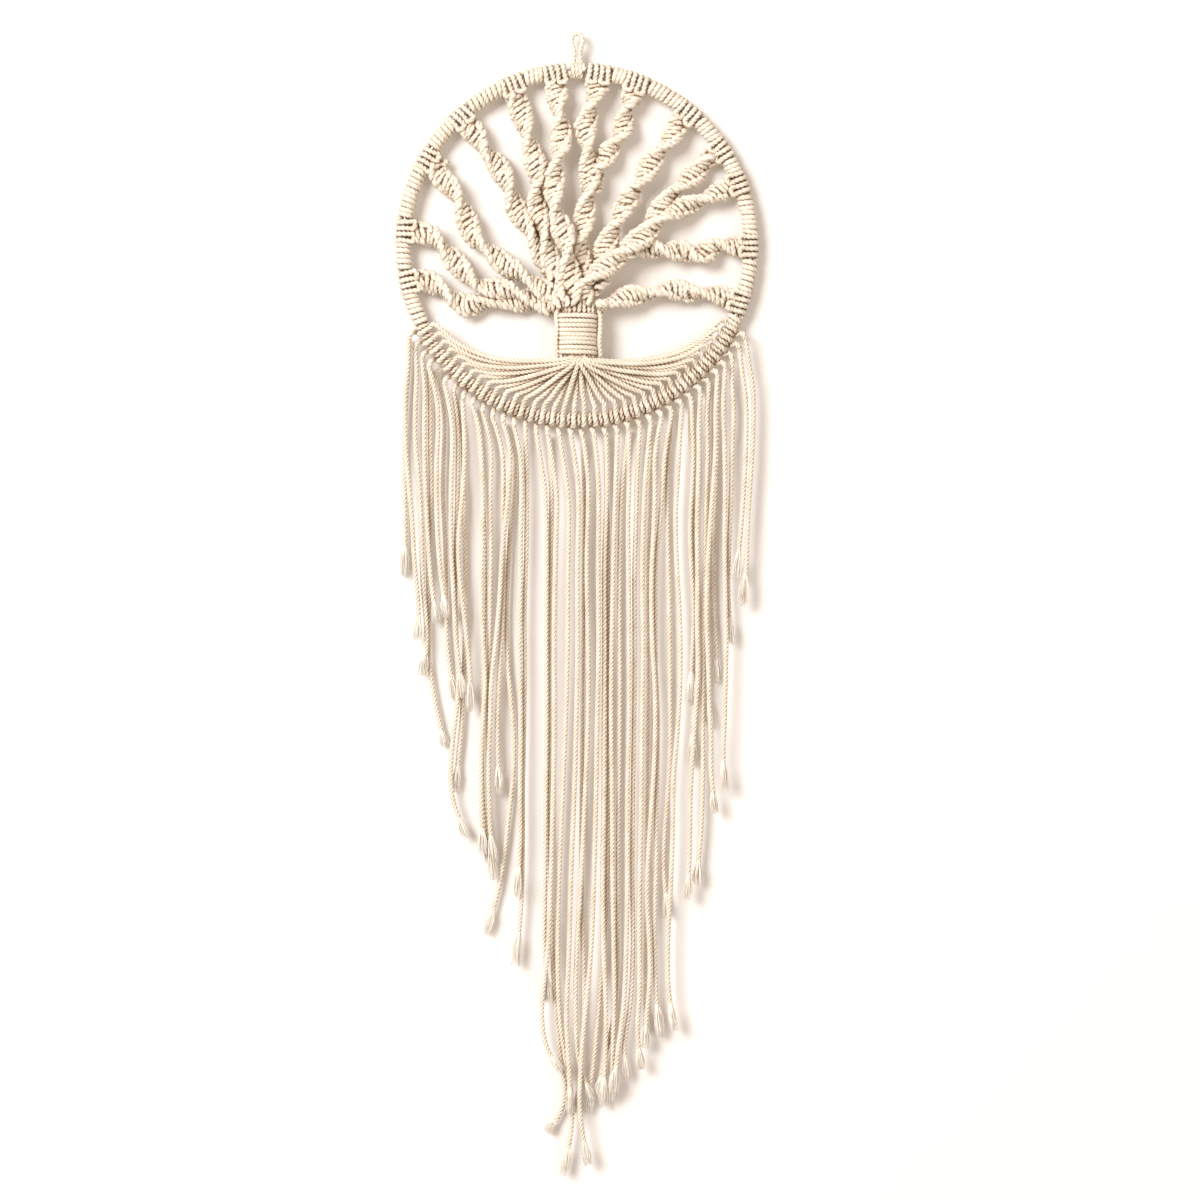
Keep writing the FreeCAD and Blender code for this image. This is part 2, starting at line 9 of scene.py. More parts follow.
import bpy
import numpy as np
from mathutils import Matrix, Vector


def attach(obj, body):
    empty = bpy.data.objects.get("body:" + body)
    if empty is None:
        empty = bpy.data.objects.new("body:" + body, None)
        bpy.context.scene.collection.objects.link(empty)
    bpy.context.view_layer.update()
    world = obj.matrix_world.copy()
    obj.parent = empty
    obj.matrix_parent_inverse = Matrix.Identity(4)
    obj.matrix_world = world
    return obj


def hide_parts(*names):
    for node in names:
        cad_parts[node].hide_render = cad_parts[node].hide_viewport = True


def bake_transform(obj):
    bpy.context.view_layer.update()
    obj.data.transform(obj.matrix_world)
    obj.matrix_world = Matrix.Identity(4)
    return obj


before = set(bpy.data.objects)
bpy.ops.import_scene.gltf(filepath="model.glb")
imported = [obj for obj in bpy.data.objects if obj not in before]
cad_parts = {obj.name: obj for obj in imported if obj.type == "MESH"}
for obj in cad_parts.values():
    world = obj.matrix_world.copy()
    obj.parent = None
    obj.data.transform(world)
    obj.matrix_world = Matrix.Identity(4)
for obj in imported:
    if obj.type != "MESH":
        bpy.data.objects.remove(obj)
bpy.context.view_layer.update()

MM = 0.001

# ---- driving sizes, the same as the CAD model's
HOOP_R = 123.5 * MM
WIRE_R = 1.5 * MM
HANG_DROP = 25.0 * MM     # from the nail down to the hoop's top centreline
RING_Z = -(HANG_DROP + HOOP_R)
CORD_R = 1.8 * MM
HITCHES = 36
FIRST_HITCH_DEG = -61.0   # from straight down, seen from the front
LAST_HITCH_DEG = 61.0
EXIT_R = HOOP_R + 12.8 * MM     # where a strand starts to swing, clear of its hitch
TRUNK_X = 1.8 * MM
TRUNK_Y = -6.0 * MM
TRUNK_CORE = (13.0 * MM, 9.8 * MM)      # half width and half depth of the gathered cords
WRAP_TOP_Z = -196.5 * MM
WRAP_BOTTOM_Z = -228.6 * MM
FRONT = -4.8 * MM
MIDDLE = -0.3 * MM
REAR = 4.2 * MM

# ---- look of the cord
LAY = 9.0 * MM            # length of one full twist of the three plies
RING_STEP = 0.85 * MM     # distance between the rings of a swept rope
SECTION_POINTS = 12       # points round a rope
PLIES = (0.44, 0.58)      # a ply's centre and radius, as shares of the cord's radius
TIGHT_PLIES = (0.30, 0.72)      # where the cord is knotted, its plies are pressed together
COIL_POINTS = 24          # points of each turn of a coil

# ---- knots
ROW = 4.3 * MM            # length of sinnet that one half knot takes
SINNET_HALF = 5.6 * MM    # the working cords' line from the sinnet's middle, at its edge
SINNET_CORD_R = 2.05 * MM
CORE_CORD_X = 1.7 * MM    # the two cords inside a sinnet, from its middle
BRANCH_TOP_R = HOOP_R - 9.0 * MM
KNOT_CORD_R = 2.1 * MM    # the cord looks thicker where it is wound tight
KNOT_HALF_DEG = 3.9       # half of the hoop's arc that a branch's knot covers
FOLD_X = 4.3 * MM         # the two folded cords of a branch's knot, from its middle

# ---- wrapping of the hoop and binding of the trunk
WRAP_PITCH = 3.7 * MM
WRAP_LINE_R = WIRE_R + 2.5 * MM
WRAP_END_DEG = 62.6       # the wrapping stops this far from straight down
WRAP_INSET_DEG = 0.2
WRAP_LEAST_DEG = 1.0      # a shorter gap between two knots is left bare
LOOP_BAND_DEG = 3.7       # half of the arc that the loop's knot takes
BINDING_X = 0.6 * MM
BINDING = (12.9 * MM, 11.3 * MM)      # half width and half depth of the binding cord's line
BINDING_TURNS = 9
BINDING_CORD_R = 1.9 * MM
TRUNK_CORDS = 20          # in the trunk's outer layer
INNER_TRUNK_CORDS = 9

# ---- root cords, in millimetres
ROOTS_X = 1.4             # middle of their fan
ROOTS_START_Z = -225.0    # inside the trunk's binding
ROOTS_FOOT_Z = -230.6
ROOTS_SPREAD_DEG = 94.0   # from straight down to the outermost cords
ROOT_LAYERS = (-15.0, -8.5, -12.0, -5.5)    # in depth, one cord after another
ROOT_CORD_R = 1.95

# ---- hanging loop, in millimetres
LOOP_BEND_R = 3.85        # of the loop's line over the nail
NAIL_Z = -2.15
LOOP_KNOT_TURNS = 4
LOOP_KNOT_HALF = 5.1      # half of the knot's width
LOOP_COIL_R = 4.15
LOOP_KNOT_CORD_R = 1.9

# ---- frayed tips: their sizes in millimetres, from the least to the most
YARNS = 40
HAIRS = 60
LONG_YARNS = 8            # these reach the very end of the tip
LOOSE_SHARE_OF_TIP = 0.9  # the rope runs into the rest of the tip
FRAY_SPREAD = (3.3, 3.8)
YARN_RADII = (0.34, 0.50)
HAIR_RADII = (0.10, 0.15)
MOST_CURL = 0.25

# One cord's way through half of its knot cycle: sideways as a share of SINNET_HALF, towards
# the face in millimetres, and along the sinnet in rows. It crosses the face, passes under the
# other cord, turns round the edge and comes up over that cord before it dives behind.
HALF_KNOT = [
    (-0.92, 0.2, 0.62), (-0.5, 1.7, 0.42), (0.0, 2.0, 0.15), (0.48, 1.4, -0.08),
    (0.84, -0.3, -0.12), (1.14, -0.5, 0.3), (1.1, 1.1, 0.72), (0.80, 2.5, 1.04),
    (0.84, 1.3, 1.42),
]

# Each branch: angle of its knot on the hoop, distance along it to its first narrow place,
# distance between narrow places, and its line in millimetres from the hoop to the trunk.
BRANCHES = {
    "01": (192.6, 23, 34, [
        (-106, 0, -174), (-94, -1, -181), (-80, -1, -191), (-65, 0, -190), (-49, 0, -188),
        (-34, -1, -190), (-16, -3, -194),
    ]),
    "02": (175.6, 23, 34, [
        (-104, -1, -142), (-89, -2, -157), (-72, -3, -176), (-55, -4, -180), (-36, -5, -185),
        (-8, -7, -195),
    ]),
    "03": (150.5, 31, 38, [
        (-96, -1, -101), (-88, -2, -109), (-81, -3, -122), (-73, -4, -144), (-62, -5, -153),
        (-48, -6, -165), (-35, -7, -173), (-6, -9, -192),
    ]),
    "04": (132.5, 22, 34, [
        (-72, -1, -70), (-65, -1, -82), (-56, -1, -92), (-48, -1, -109), (-41, -1, -126),
        (-28, -1, -148), (-18, -2, -172), (-6, -4, -191),
    ]),
    "05": (112.0, 31, 37, [
        (-40, -1, -53), (-36, -2, -68), (-31, -3, -85), (-28, -4, -102), (-28, -4, -121),
        (-22, -5, -144), (-15, -6, -171), (-3, -6, -191),
    ]),
    "06": (97.3, 23, 34, [
        (-14, -2, -51), (-11, -3, -61), (-11, -5, -75), (-14, -7, -90), (-16, -9, -106),
        (-16, -11, -122), (-11, -13, -136), (-7, -15, -153), (-5, -14, -171), (0, -11, -192),
    ]),
    "07": (82.7, 16, 32, [
        (10, -2, -53), (6, -3, -68), (9, -4, -88), (9, -4, -107), (6, -4, -125), (3, -4, -151),
        (3, -4, -173), (4, -4, -192),
    ]),
    "08": (69.9, 12, 24, [
        (35, -1, -55), (31, -1, -70), (24, -1, -81), (16, -1, -92), (12, 0, -102), (9, -1, -112),
    ]),
    "09": (49.9, 24, 32, [
        (65, -1, -75), (53, -3, -91), (43, -4, -107), (34, -5, -121), (26, -6, -138),
        (18, -6, -155), (11, -6, -174), (7, -5, -192),
    ]),
    "10": (33.5, 36, 33, [
        (82, -1, -99), (68, -3, -112), (59, -5, -124), (48, -7, -139), (38, -9, -151),
        (24, -9, -163), (12, -9, -178),
    ]),
    "11": (20.8, 21, 33, [
        (88, -2, -117), (65, -5, -127), (50, -9, -141), (38, -13, -153), (18, -15, -167),
        (6, -14, -179), (4, -10, -193),
    ]),
    "12": (-0.4, 12, 23, [
        (99, -1, -149), (86, -2, -157), (74, -3, -153), (62, -4, -153), (45, -6, -151),
        (34, -8, -155),
    ]),
    "13": (-19.4, 21, 35, [
        (96, -1, -183), (80, -2, -183), (65, -3, -180), (50, -4, -184), (34, -5, -186),
        (12, -7, -195),
    ]),
}

# One strand below each hitch, from the left: its row in depth, then X and Z of its points in
# millimetres. The last point is the end of the frayed tip, which starts at the point before it.
FRINGE = [
    (FRONT, [
        (-119.5, -232.5), (-122, -253), (-122, -284), (-120, -312), (-117, -340), (-115.5, -372),
        (-113, -395), (-112, -412), (-113.5, -429)]),
    (MIDDLE, [
        (-113.5, -239.5), (-115, -262), (-115, -290.5), (-112, -317), (-110.5, -351), (-110, -386.5),
        (-107, -416), (-106.5, -437.5), (-110, -455)]),
    (MIDDLE, [
        (-108, -248), (-108.5, -273), (-108.5, -308), (-106.5, -347.5), (-104.5, -379), (-102, -401.5),
        (-99.5, -417.5)]),
    (FRONT, [
        (-99.5, -253.5), (-98, -276.5), (-100, -307), (-99.5, -344), (-97.5, -375.5), (-94.5, -396.5),
        (-93, -413.5)]),
    (REAR, [
        (-94.5, -262), (-94.5, -287), (-96, -322.5), (-93.5, -358), (-93.5, -397), (-93, -429),
        (-90, -453), (-86, -472.5)]),
    (FRONT, [
        (-89.5, -265.5), (-88, -287), (-89.5, -322.5), (-89.5, -361.5), (-87.5, -397), (-86, -429),
        (-83, -451.5), (-81, -470)]),
    (MIDDLE, [
        (-84.5, -273), (-84.5, -301), (-85, -336.5), (-86.5, -372), (-86.5, -407.5), (-85, -439.5),
        (-84, -468), (-88, -496.5), (-90, -521), (-89, -540.5), (-84, -555.5), (-78, -569.5)]),
    (FRONT, [
        (-80, -276.5), (-79.5, -297.5), (-81, -326), (-84, -351), (-84, -378), (-81, -404),
        (-77.5, -432.5), (-75.5, -458), (-75.5, -480)]),
    (FRONT, [
        (-69, -276.5), (-67.5, -301), (-66.5, -336.5), (-67.5, -372), (-68, -404), (-66.5, -432.5),
        (-65, -457.5), (-66.5, -482), (-68, -510.5), (-68, -539), (-67.5, -561.5), (-66.5, -581.5)]),
    (MIDDLE, [
        (-62.5, -282), (-60.5, -299.5), (-62, -329.5), (-61, -365), (-62, -404), (-62, -443),
        (-63, -482), (-62.5, -517.5), (-63, -549.5), (-62, -576.5), (-59, -599.5)]),
    (MIDDLE, [
        (-54, -287), (-52, -308), (-52.5, -344), (-52, -379), (-53, -418.5), (-55.5, -457.5),
        (-57, -493), (-56, -517.5), (-55.5, -539)]),
    (FRONT, [
        (-47.5, -289), (-47.5, -308), (-49.5, -334.5), (-53, -363.5), (-54.5, -395), (-57, -426),
        (-61, -457.5), (-61.5, -487), (-63, -517.5), (-62.5, -542.5), (-61.5, -566), (-59, -586.5)]),
    (FRONT, [
        (-40.5, -292), (-39, -315.5), (-40, -354.5), (-40, -393.5), (-41, -432.5), (-40, -471.5),
        (-40, -507), (-40.5, -539), (-40, -564), (-41, -588), (-42.5, -611.5)]),
    (MIDDLE, [
        (-36, -297.5), (-35.5, -329.5), (-36, -368.5), (-37.5, -407.5), (-37, -446.5), (-37.5, -489.5),
        (-38.5, -532), (-38.5, -571), (-39, -606.5), (-41, -635), (-43.5, -660.5)]),
    (MIDDLE, [
        (-25.5, -303.5), (-22, -326), (-21.5, -372), (-22, -429), (-21.5, -486), (-22.5, -542.5),
        (-22.5, -599.5), (-23.5, -642), (-22, -667), (-20.5, -686.5)]),
    (FRONT, [
        (-16.5, -306), (-14, -329.5), (-15.5, -372), (-16.5, -429), (-16, -486), (-17, -542.5),
        (-18.5, -596), (-20, -645.5), (-25.5, -687.5), (-24, -709.5), (-19, -724.5), (-10.5, -735)]),
    (MIDDLE, [
        (-8.5, -308), (-5.5, -333), (-6.5, -375.5), (-6.5, -429), (-8, -486), (-10.5, -542.5),
        (-13, -596), (-14, -649), (-13, -695), (-9, -721.5), (-4.5, -745), (-3, -766), (-5.5, -788),
        (-10, -809.5)]),
    (FRONT, [
        (0, -308), (1.5, -333), (0, -375.5), (0.5, -429), (-0.5, -486), (-2, -542.5), (-4.5, -596),
        (-5.5, -649), (-8, -693), (-6.5, -722), (-5, -745), (-5, -765)]),
    (MIDDLE, [
        (8, -308), (8, -336.5), (6.5, -375.5), (8, -429), (8, -486), (5.5, -542.5), (3, -596),
        (-0.5, -649), (-1.5, -693), (0, -721.5), (4.5, -741.5), (11.5, -756.5)]),
    (FRONT, [
        (15, -308), (15.5, -336.5), (15, -379), (15.5, -436), (14, -489.5), (13.5, -542.5), (12, -596),
        (10.5, -645.5), (6.5, -686.5), (3.5, -716.5), (2, -741.5), (1.5, -762.5), (4.5, -782.5),
        (8, -801)]),
    (MIDDLE, [
        (21.5, -312), (20.5, -340), (19, -379), (19.5, -432.5), (19, -486), (19, -542.5), (18, -596),
        (18.5, -645.5), (20.5, -686.5), (20.5, -715), (19, -738.5), (18.5, -760)]),
    (MIDDLE, [
        (27.5, -312), (26.5, -344), (25.5, -383), (24.5, -432.5), (24, -486), (25, -542.5), (25, -596),
        (26, -645.5), (26.5, -686.5), (25.5, -714.5), (25, -736.5), (25, -756.5)]),
    (FRONT, [
        (37, -312), (36, -344), (36.5, -383), (37, -432.5), (37, -486), (35.5, -542.5), (36, -596),
        (35, -645.5), (33.5, -684.5), (30.5, -708.5), (27.5, -730), (27, -750)]),
    (MIDDLE, [
        (42.5, -308), (42, -344), (40.5, -383), (41, -432.5), (40.5, -486), (39.5, -542.5), (39, -596),
        (40, -645.5), (38.5, -682.5), (35.5, -703), (32.5, -722), (35, -740.5)]),
    (FRONT, [
        (48.5, -308), (47, -344), (46, -383), (47, -432.5), (46, -486), (45.5, -542.5), (44.5, -596),
        (44, -642), (44.5, -677.5), (42.5, -701.5), (43.5, -718.5), (45.5, -733.5)]),
    (FRONT, [
        (54.5, -294), (55.5, -322.5), (54.5, -351), (52.5, -383), (53, -429), (55.5, -464.5),
        (55.5, -500), (53.5, -539), (50.5, -578), (49, -608.5), (51, -638.5), (52, -663), (50.5, -683),
        (48.5, -701.5), (48.5, -718.5)]),
    (MIDDLE, [
        (62.5, -290.5), (61, -315.5), (59, -344), (56, -372), (55.5, -407.5), (55.5, -446.5),
        (57.5, -482), (57, -517.5), (56, -557), (56, -596), (54.5, -631.5), (55.5, -662), (56, -686.5),
        (59.5, -711)]),
    (FRONT, [
        (72.5, -287), (71.5, -312), (69.5, -340), (70.5, -375.5), (72.5, -404), (73.5, -432.5),
        (73, -464.5), (71, -496.5), (67.5, -528.5), (68, -564), (66.5, -599.5), (64.5, -635),
        (64, -663), (65.5, -685.5), (69.5, -706)]),
    (MIDDLE, [
        (81.5, -273), (83, -290.5), (82, -319), (80, -347.5), (81, -375.5), (83, -400.5), (82.5, -426),
        (81.5, -450), (80, -474.5)]),
    (FRONT, [
        (86, -273), (86.5, -301), (85, -344), (85.5, -383), (85, -418.5), (86, -446.5), (84, -480),
        (81.5, -514), (80, -546), (80, -572.5), (79, -593.5), (78.5, -613)]),
    (MIDDLE, [
        (91.5, -265.5), (93, -290.5), (91.5, -329.5), (91, -372), (90, -407.5), (90, -443),
        (89, -478.5), (89.5, -510.5), (89, -541), (88, -565.5), (86, -585), (85, -603)]),
    (FRONT, [
        (98, -262), (98.5, -287), (97, -315.5), (94.5, -344), (92.5, -375.5), (91.5, -411), (93, -443),
        (93.5, -473), (95, -498.5), (94.5, -517.5), (96, -535.5), (98, -552)]),
    (FRONT, [
        (103, -258.5), (104.5, -287), (105, -322.5), (104.5, -361.5), (105, -397), (106, -432.5),
        (105, -463), (104.5, -488.5), (103, -512.5), (105, -536)]),
    (MIDDLE, [
        (109.5, -244.5), (111.5, -265.5), (110, -290.5), (109.5, -322.5), (108, -358), (107, -388),
        (108, -411), (109.5, -432.5)]),
    (FRONT, [
        (116.5, -237), (120, -258.5), (120, -283.5), (119, -312), (117, -339), (115, -363.5),
        (112, -386.5)]),
    (FRONT, [
        (121.5, -232.5), (125, -250), (125, -273), (124, -299.5), (122, -328), (120.5, -354.5),
        (120, -380), (117, -405)]),
]

# Second cords that share a hitch with a strand and hang behind it, in the rear row: that
# strand's place from the left, starting at 0, and the points.
REAR_STRANDS = {
    "left_outer_rear_1": (0, [
        (-120, -238), (-122, -262), (-123, -294), (-122.5, -329.5), (-122, -359.5), (-123, -384)]),
    "left_outer_rear_2": (3, [
        (-104.5, -256.5), (-104.5, -287), (-103.5, -329.5), (-106, -370.5), (-105.5, -406),
        (-106, -437.5), (-103, -463), (-99.5, -480), (-96.5, -493.5), (-93.5, -505.5)]),
    "left_outer_rear_3": (6, [
        (-81, -276.5), (-81, -308), (-80, -347.5), (-79.5, -386.5), (-79.5, -425.5), (-81, -464.5),
        (-82.5, -495), (-85, -517), (-86.5, -537.5)]),
    "left_inner_rear_1": (11, [
        (-44.5, -295), (-44.5, -319), (-47.5, -351), (-49.5, -383), (-50.5, -416), (-49.5, -446.5),
        (-46.5, -475), (-44.5, -503.5), (-45.5, -528.5), (-48.5, -553), (-51, -578), (-54.5, -599.5),
        (-59, -619), (-64.5, -638.5)]),
    "left_inner_rear_2": (8, [
        (-70, -280), (-68, -308), (-66, -347.5), (-65.5, -386.5), (-66, -425.5), (-67.5, -464.5),
        (-68, -500), (-67.5, -532), (-66.5, -553), (-64.5, -571.5), (-62.5, -587.5)]),
    "centre_rear_1": (15, [
        (-18, -312), (-18.5, -344), (-19, -393.5), (-20, -446.5), (-20, -503.5), (-19.5, -560.5),
        (-18.5, -617), (-17, -667), (-14, -702.5), (-12, -727), (-8, -747), (-10, -761), (-15, -771),
        (-21.5, -779.5)]),
    "centre_rear_2": (18, [
        (5, -312), (4.5, -351), (4.5, -404), (3.5, -461), (3.5, -517.5), (3, -574.5), (3.5, -628),
        (5, -674), (4.5, -704.5), (3.5, -727), (1.5, -747), (0, -766)]),
    "centre_rear_3": (20, [
        (20.5, -312), (22, -351), (22, -404), (22.5, -461), (22.5, -517.5), (22, -574.5), (20.5, -628),
        (17, -674), (14, -704.5), (12, -727), (9, -747), (8, -765.5)]),
    "centre_rear_4": (22, [
        (32, -312), (30.5, -351), (30, -404), (30.5, -461), (30, -517.5), (29, -574.5), (29, -628),
        (28.5, -670.5), (25.5, -702.5), (20.5, -723), (17, -739), (15, -755)]),
    "centre_rear_5": (24, [
        (52, -312), (51, -351), (49.5, -400.5), (50, -454), (50, -507), (49, -557), (49.5, -603),
        (48.5, -642), (47.5, -670.5), (48.5, -691), (51, -708.5)]),
    "centre_rear_6": (26, [
        (64.5, -297.5), (64, -329.5), (64.5, -365), (65.5, -400.5), (66, -436), (66, -471.5),
        (66.5, -503.5), (64.5, -537), (62, -567.5), (61, -590), (63, -608.5), (64, -626.5)]),
    "right_outer_rear_1": (28, [
        (80, -276.5), (82.5, -308), (83, -351), (82.5, -393.5), (81.5, -429), (82.5, -464.5),
        (82, -494.5), (82.5, -519)]),
    "right_outer_rear_2": (30, [
        (92.5, -269), (93, -297.5), (92.5, -336.5), (91.5, -375.5), (92, -415), (93, -446.5),
        (93, -470), (93.5, -490.5)]),
    "right_outer_rear_3": (31, [
        (100, -269), (99.5, -301), (98, -336.5), (97, -372), (97, -400.5), (98, -422.5), (99.5, -441.5),
        (100, -460)]),
}

# Parts of the fringe that swing on their own: first and last strand that leads from a hitch.
CURTAINS = {
    "left_outer": (1, 8),
    "left_inner": (9, 14),
    "centre": (15, 28),
    "right_outer": (29, 36),
}


# ------------------------------------------------------------------ places on the object

def on_ring(radius, degrees, y=0.0):
    """Point at a radius from the hoop's centre, anticlockwise from the right."""
    angle = math.radians(degrees)
    return np.array([radius * math.cos(angle), y, RING_Z + radius * math.sin(angle)])


def by_hoop(degrees, along, outward, y):
    """Point near the hoop: along it clockwise seen from the front, outward from it and in depth."""
    angle = math.radians(degrees)
    out = np.array([math.cos(angle), 0.0, math.sin(angle)])
    tangent = np.array([math.sin(angle), 0.0, -math.cos(angle)])
    return on_ring(HOOP_R, degrees) + along * tangent + outward * out + np.array([0.0, y, 0.0])


def hitch_degrees(number):
    """Angle on the hoop of a hitch, counted from the left."""
    below = FIRST_HITCH_DEG + (LAST_HITCH_DEG - FIRST_HITCH_DEG) * number / (HITCHES - 1)
    return below - 90.0


# ------------------------------------------------------------------ lines

def resample(points, step):
    """The same line with evenly spaced points."""
    points = np.asarray(points, float)
    runs = np.linalg.norm(np.diff(points, axis=0), axis=1)
    reach = np.concatenate([[0.0], np.cumsum(runs)])
    count = max(int(round(reach[-1] / step)), 2)
    places = np.linspace(0.0, reach[-1], count + 1)
    return np.stack([np.interp(places, reach, points[:, axis]) for axis in range(3)], axis=1)


def smooth(points, step, per_run=8):
    """Catmull-Rom line through the points."""
    points = np.asarray(points, float)
    padded = np.vstack([2 * points[0] - points[1], points, 2 * points[-1] - points[-2]])
    a, b, c, d = padded[:-3], padded[1:-2], padded[2:-1], padded[3:]
    t = np.linspace(0.0, 1.0, per_run, endpoint=False)[None, :, None]
    a, b, c, d = (p[:, None, :] for p in (a, b, c, d))
    line = 0.5 * (2 * b + (c - a) * t + (2 * a - 5 * b + 4 * c - d) * t ** 2
                  + (3 * b - a - 3 * c + d) * t ** 3)
    return resample(np.vstack([line.reshape(-1, 3), points[-1]]), step)


def transported_frames(line, first_normal):
    """Tangents, and normals carried along the line with no twist of their own."""
    tangents = np.gradient(line, axis=0)
    tangents /= np.linalg.norm(tangents, axis=1)[:, None]
    normals = np.empty_like(line)
    normal = np.asarray(first_normal, float)
    for i, tangent in enumerate(tangents):
        normal = normal - tangent * normal.dot(tangent)
        normal = normal / math.sqrt(normal.dot(normal))
        normals[i] = normal
    return tangents, normals


def nurbs_line(points):
    """Points along the smooth NURBS curve that has these control points."""
    curve = bpy.data.curves.new("route", "CURVE")
    curve.dimensions = "3D"
    spline = curve.splines.new("NURBS")
    spline.points.add(len(points) - 1)
    for point, place in zip(spline.points, points):
        point.co = (*place, 1.0)
    spline.order_u = 3
    spline.use_endpoint_u = True
    spline.resolution_u = 16
    holder = bpy.data.objects.new("route", curve)
    mesh = bpy.data.meshes.new_from_object(holder)
    line = np.array([vertex.co for vertex in mesh.vertices])
    bpy.data.objects.remove(holder)
    bpy.data.curves.remove(curve)
    bpy.data.meshes.remove(mesh)
    return line


# ------------------------------------------------------------------ ropes and fibres

def section_radii(offset, radius):
    """Outline of three plies laid together: a share of the cord's radius at each angle."""
    per_ply = SECTION_POINTS // 3
    angles = np.radians((np.arange(SECTION_POINTS) % per_ply) / per_ply * 120.0 - 60.0)
    return offset * np.cos(angles) + np.sqrt(radius ** 2 - (offset * np.sin(angles)) ** 2)


SECTION = section_radii(*PLIES)
TIGHT_SECTION = section_radii(*TIGHT_PLIES)


class Strands:
    """A mesh that ropes and fibres are added to."""

    def __init__(self):
        self.vertices = []
        self.faces = []
        self.face_uvs = []
        self.count = 0
        self.loose_from = None

    def add_tube(self, line, radii, lay=None, phase=0.0):
        """Sweeps rings along a line. radii has a row of radii for each point of the line."""
        rings, around = radii.shape
        tangents, normals = transported_frames(line, pick_normal(line))
        binormals = np.cross(tangents, normals)
        runs = np.linalg.norm(np.diff(line, axis=0), axis=1)
        reach = np.concatenate([[0.0], np.cumsum(runs)])
        turn = phase + (2 * math.pi * reach / lay if lay else 0.0 * reach)
        angles = np.arange(around) * 2 * math.pi / around
        angles = angles[None, :] + turn[:, None]
        offsets = (np.cos(angles)[..., None] * normals[:, None, :]
                   + np.sin(angles)[..., None] * binormals[:, None, :])
        self.vertices.append((line[:, None, :] + radii[..., None] * offsets).reshape(-1, 3))
        ring = np.arange(rings - 1)[:, None] * around
        side = np.arange(around)[None, :]
        after = (side + 1) % around
        quads = np.stack([ring + side, ring + after, ring + around + after, ring + around + side],
                         axis=-1).reshape(-1, 4) + self.count
        self.faces.extend(quads.tolist())
        u = np.broadcast_to(side / around, (rings - 1, around))
        v = np.broadcast_to(reach[:-1, None], (rings - 1, around))
        w = np.broadcast_to(reach[1:, None], (rings - 1, around))
        corners = np.stack([u, v, u + 1 / around, v, u + 1 / around, w, u, w], axis=-1)
        self.face_uvs.append(corners.reshape(-1, 2))
        first = self.count + np.arange(around)
        last = first + (rings - 1) * around
        for cap, place in ((first[::-1], reach[0]), (last, reach[-1])):
            self.faces.append(cap.tolist())
            self.face_uvs.append(np.column_stack([np.arange(around) / around,
                                                  np.full(around, place)]))
        self.count += rings * around

    def add_rope(self, line, radius, phase=0.0, section=SECTION):
        """Three-ply rope along a line of close points."""
        self.add_tube(line, np.tile(radius * section, (len(line), 1)), LAY, phase)

    def piece(self, name, material, slot_name, *nodes):
        """The finished object, standing for the given CAD nodes."""
        mesh = bpy.data.meshes.new(name)
        mesh.from_pydata(np.vstack(self.vertices).tolist(), [], self.faces)
        layer = mesh.uv_layers.new(name="Along")
        layer.data.foreach_set("uv", np.vstack(self.face_uvs).ravel())
        mesh.shade_smooth()
        mesh.materials.append(material)
        if self.loose_from is not None:
            mesh.materials.append(LIGHTENED_LOOSE_COTTON)
            slots = np.zeros(len(self.faces), np.int32)
            slots[self.loose_from:] = 1
            mesh.polygons.foreach_set("material_index", slots)
        made = bpy.data.objects.new(name, mesh)
        bpy.context.scene.collection.objects.link(made)
        if nodes:
            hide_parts(*nodes)
        return made


def pick_normal(line):
    """A direction well across the line's first run."""
    start = line[1] - line[0]
    return np.array([0.0, -1.0, 0.0]) if abs(start[1]) < 0.9 * np.linalg.norm(start) \
        else np.array([1.0, 0.0, 0.0])


def unit(vector):
    """The same direction with length one."""
    return vector / np.linalg.norm(vector)


def any_phase(random):
    """How far a rope's plies are turned at its start, in radians."""
    return random.uniform(0, 6.28)


def smooth_noise(count, spacing, random):
    """Values that wander about zero, with a new one every so many steps."""
    knots = random.normal(0.0, 1.0, count // spacing + 3)
    return np.interp(np.arange(count) / spacing, np.arange(len(knots)), knots)


def shaken(points, amount, random):
    """The points, each moved a little, so that no two knots are quite alike."""
    points = np.asarray(points, float)
    return points + random.normal(0.0, amount, points.shape)


def add_fray(strands, start, end, random):
    """Brush of loosened yarns and single hairs between two points of a strand's tip."""
    way = end - start
    reach = np.linalg.norm(way)
    way = way / reach
    side = unit(np.cross(way, [0.0, 1.0, 0.0]))
    depth = np.cross(way, side)
    spread = random.uniform(*FRAY_SPREAD) * MM
    strands.loose_from = len(strands.faces)
    for number in range(YARNS + HAIRS):
        hair = number >= YARNS
        angle = random.uniform(0, 2 * math.pi)
        share = random.uniform(0.02, 1.0) ** 0.6
        across = math.cos(angle) * side + math.sin(angle) * depth
        length = reach * (1.0 if number < LONG_YARNS else random.uniform(0.68, 1.0))
        wide = share * spread * random.uniform(0.85, 1.02)
        curl = np.clip(random.normal(0.0, 0.3, 3), -MOST_CURL, MOST_CURL) * MM
        # It leaves the rope among the others, stands off by the middle and runs on to its end.
        points = [
            start + across * share * 1.25 * MM - way * 1.5 * MM,
            start + across * share * 2.2 * MM + way * 0.2 * length,
            start + across * 0.97 * wide + way * 0.52 * length + curl,
            start + across * wide + way * length - curl,
        ]
        line = smooth(points, length / 6, 4)
        radius = random.uniform(*(HAIR_RADII if hair else YARN_RADII)) * MM
        taper = np.linspace(1.0, 0.35, len(line)) ** 1.2
        around = 3 if hair else 5
        strands.add_tube(line, radius * taper[:, None] * np.ones(around)[None, :])


# ------------------------------------------------------------------ materials

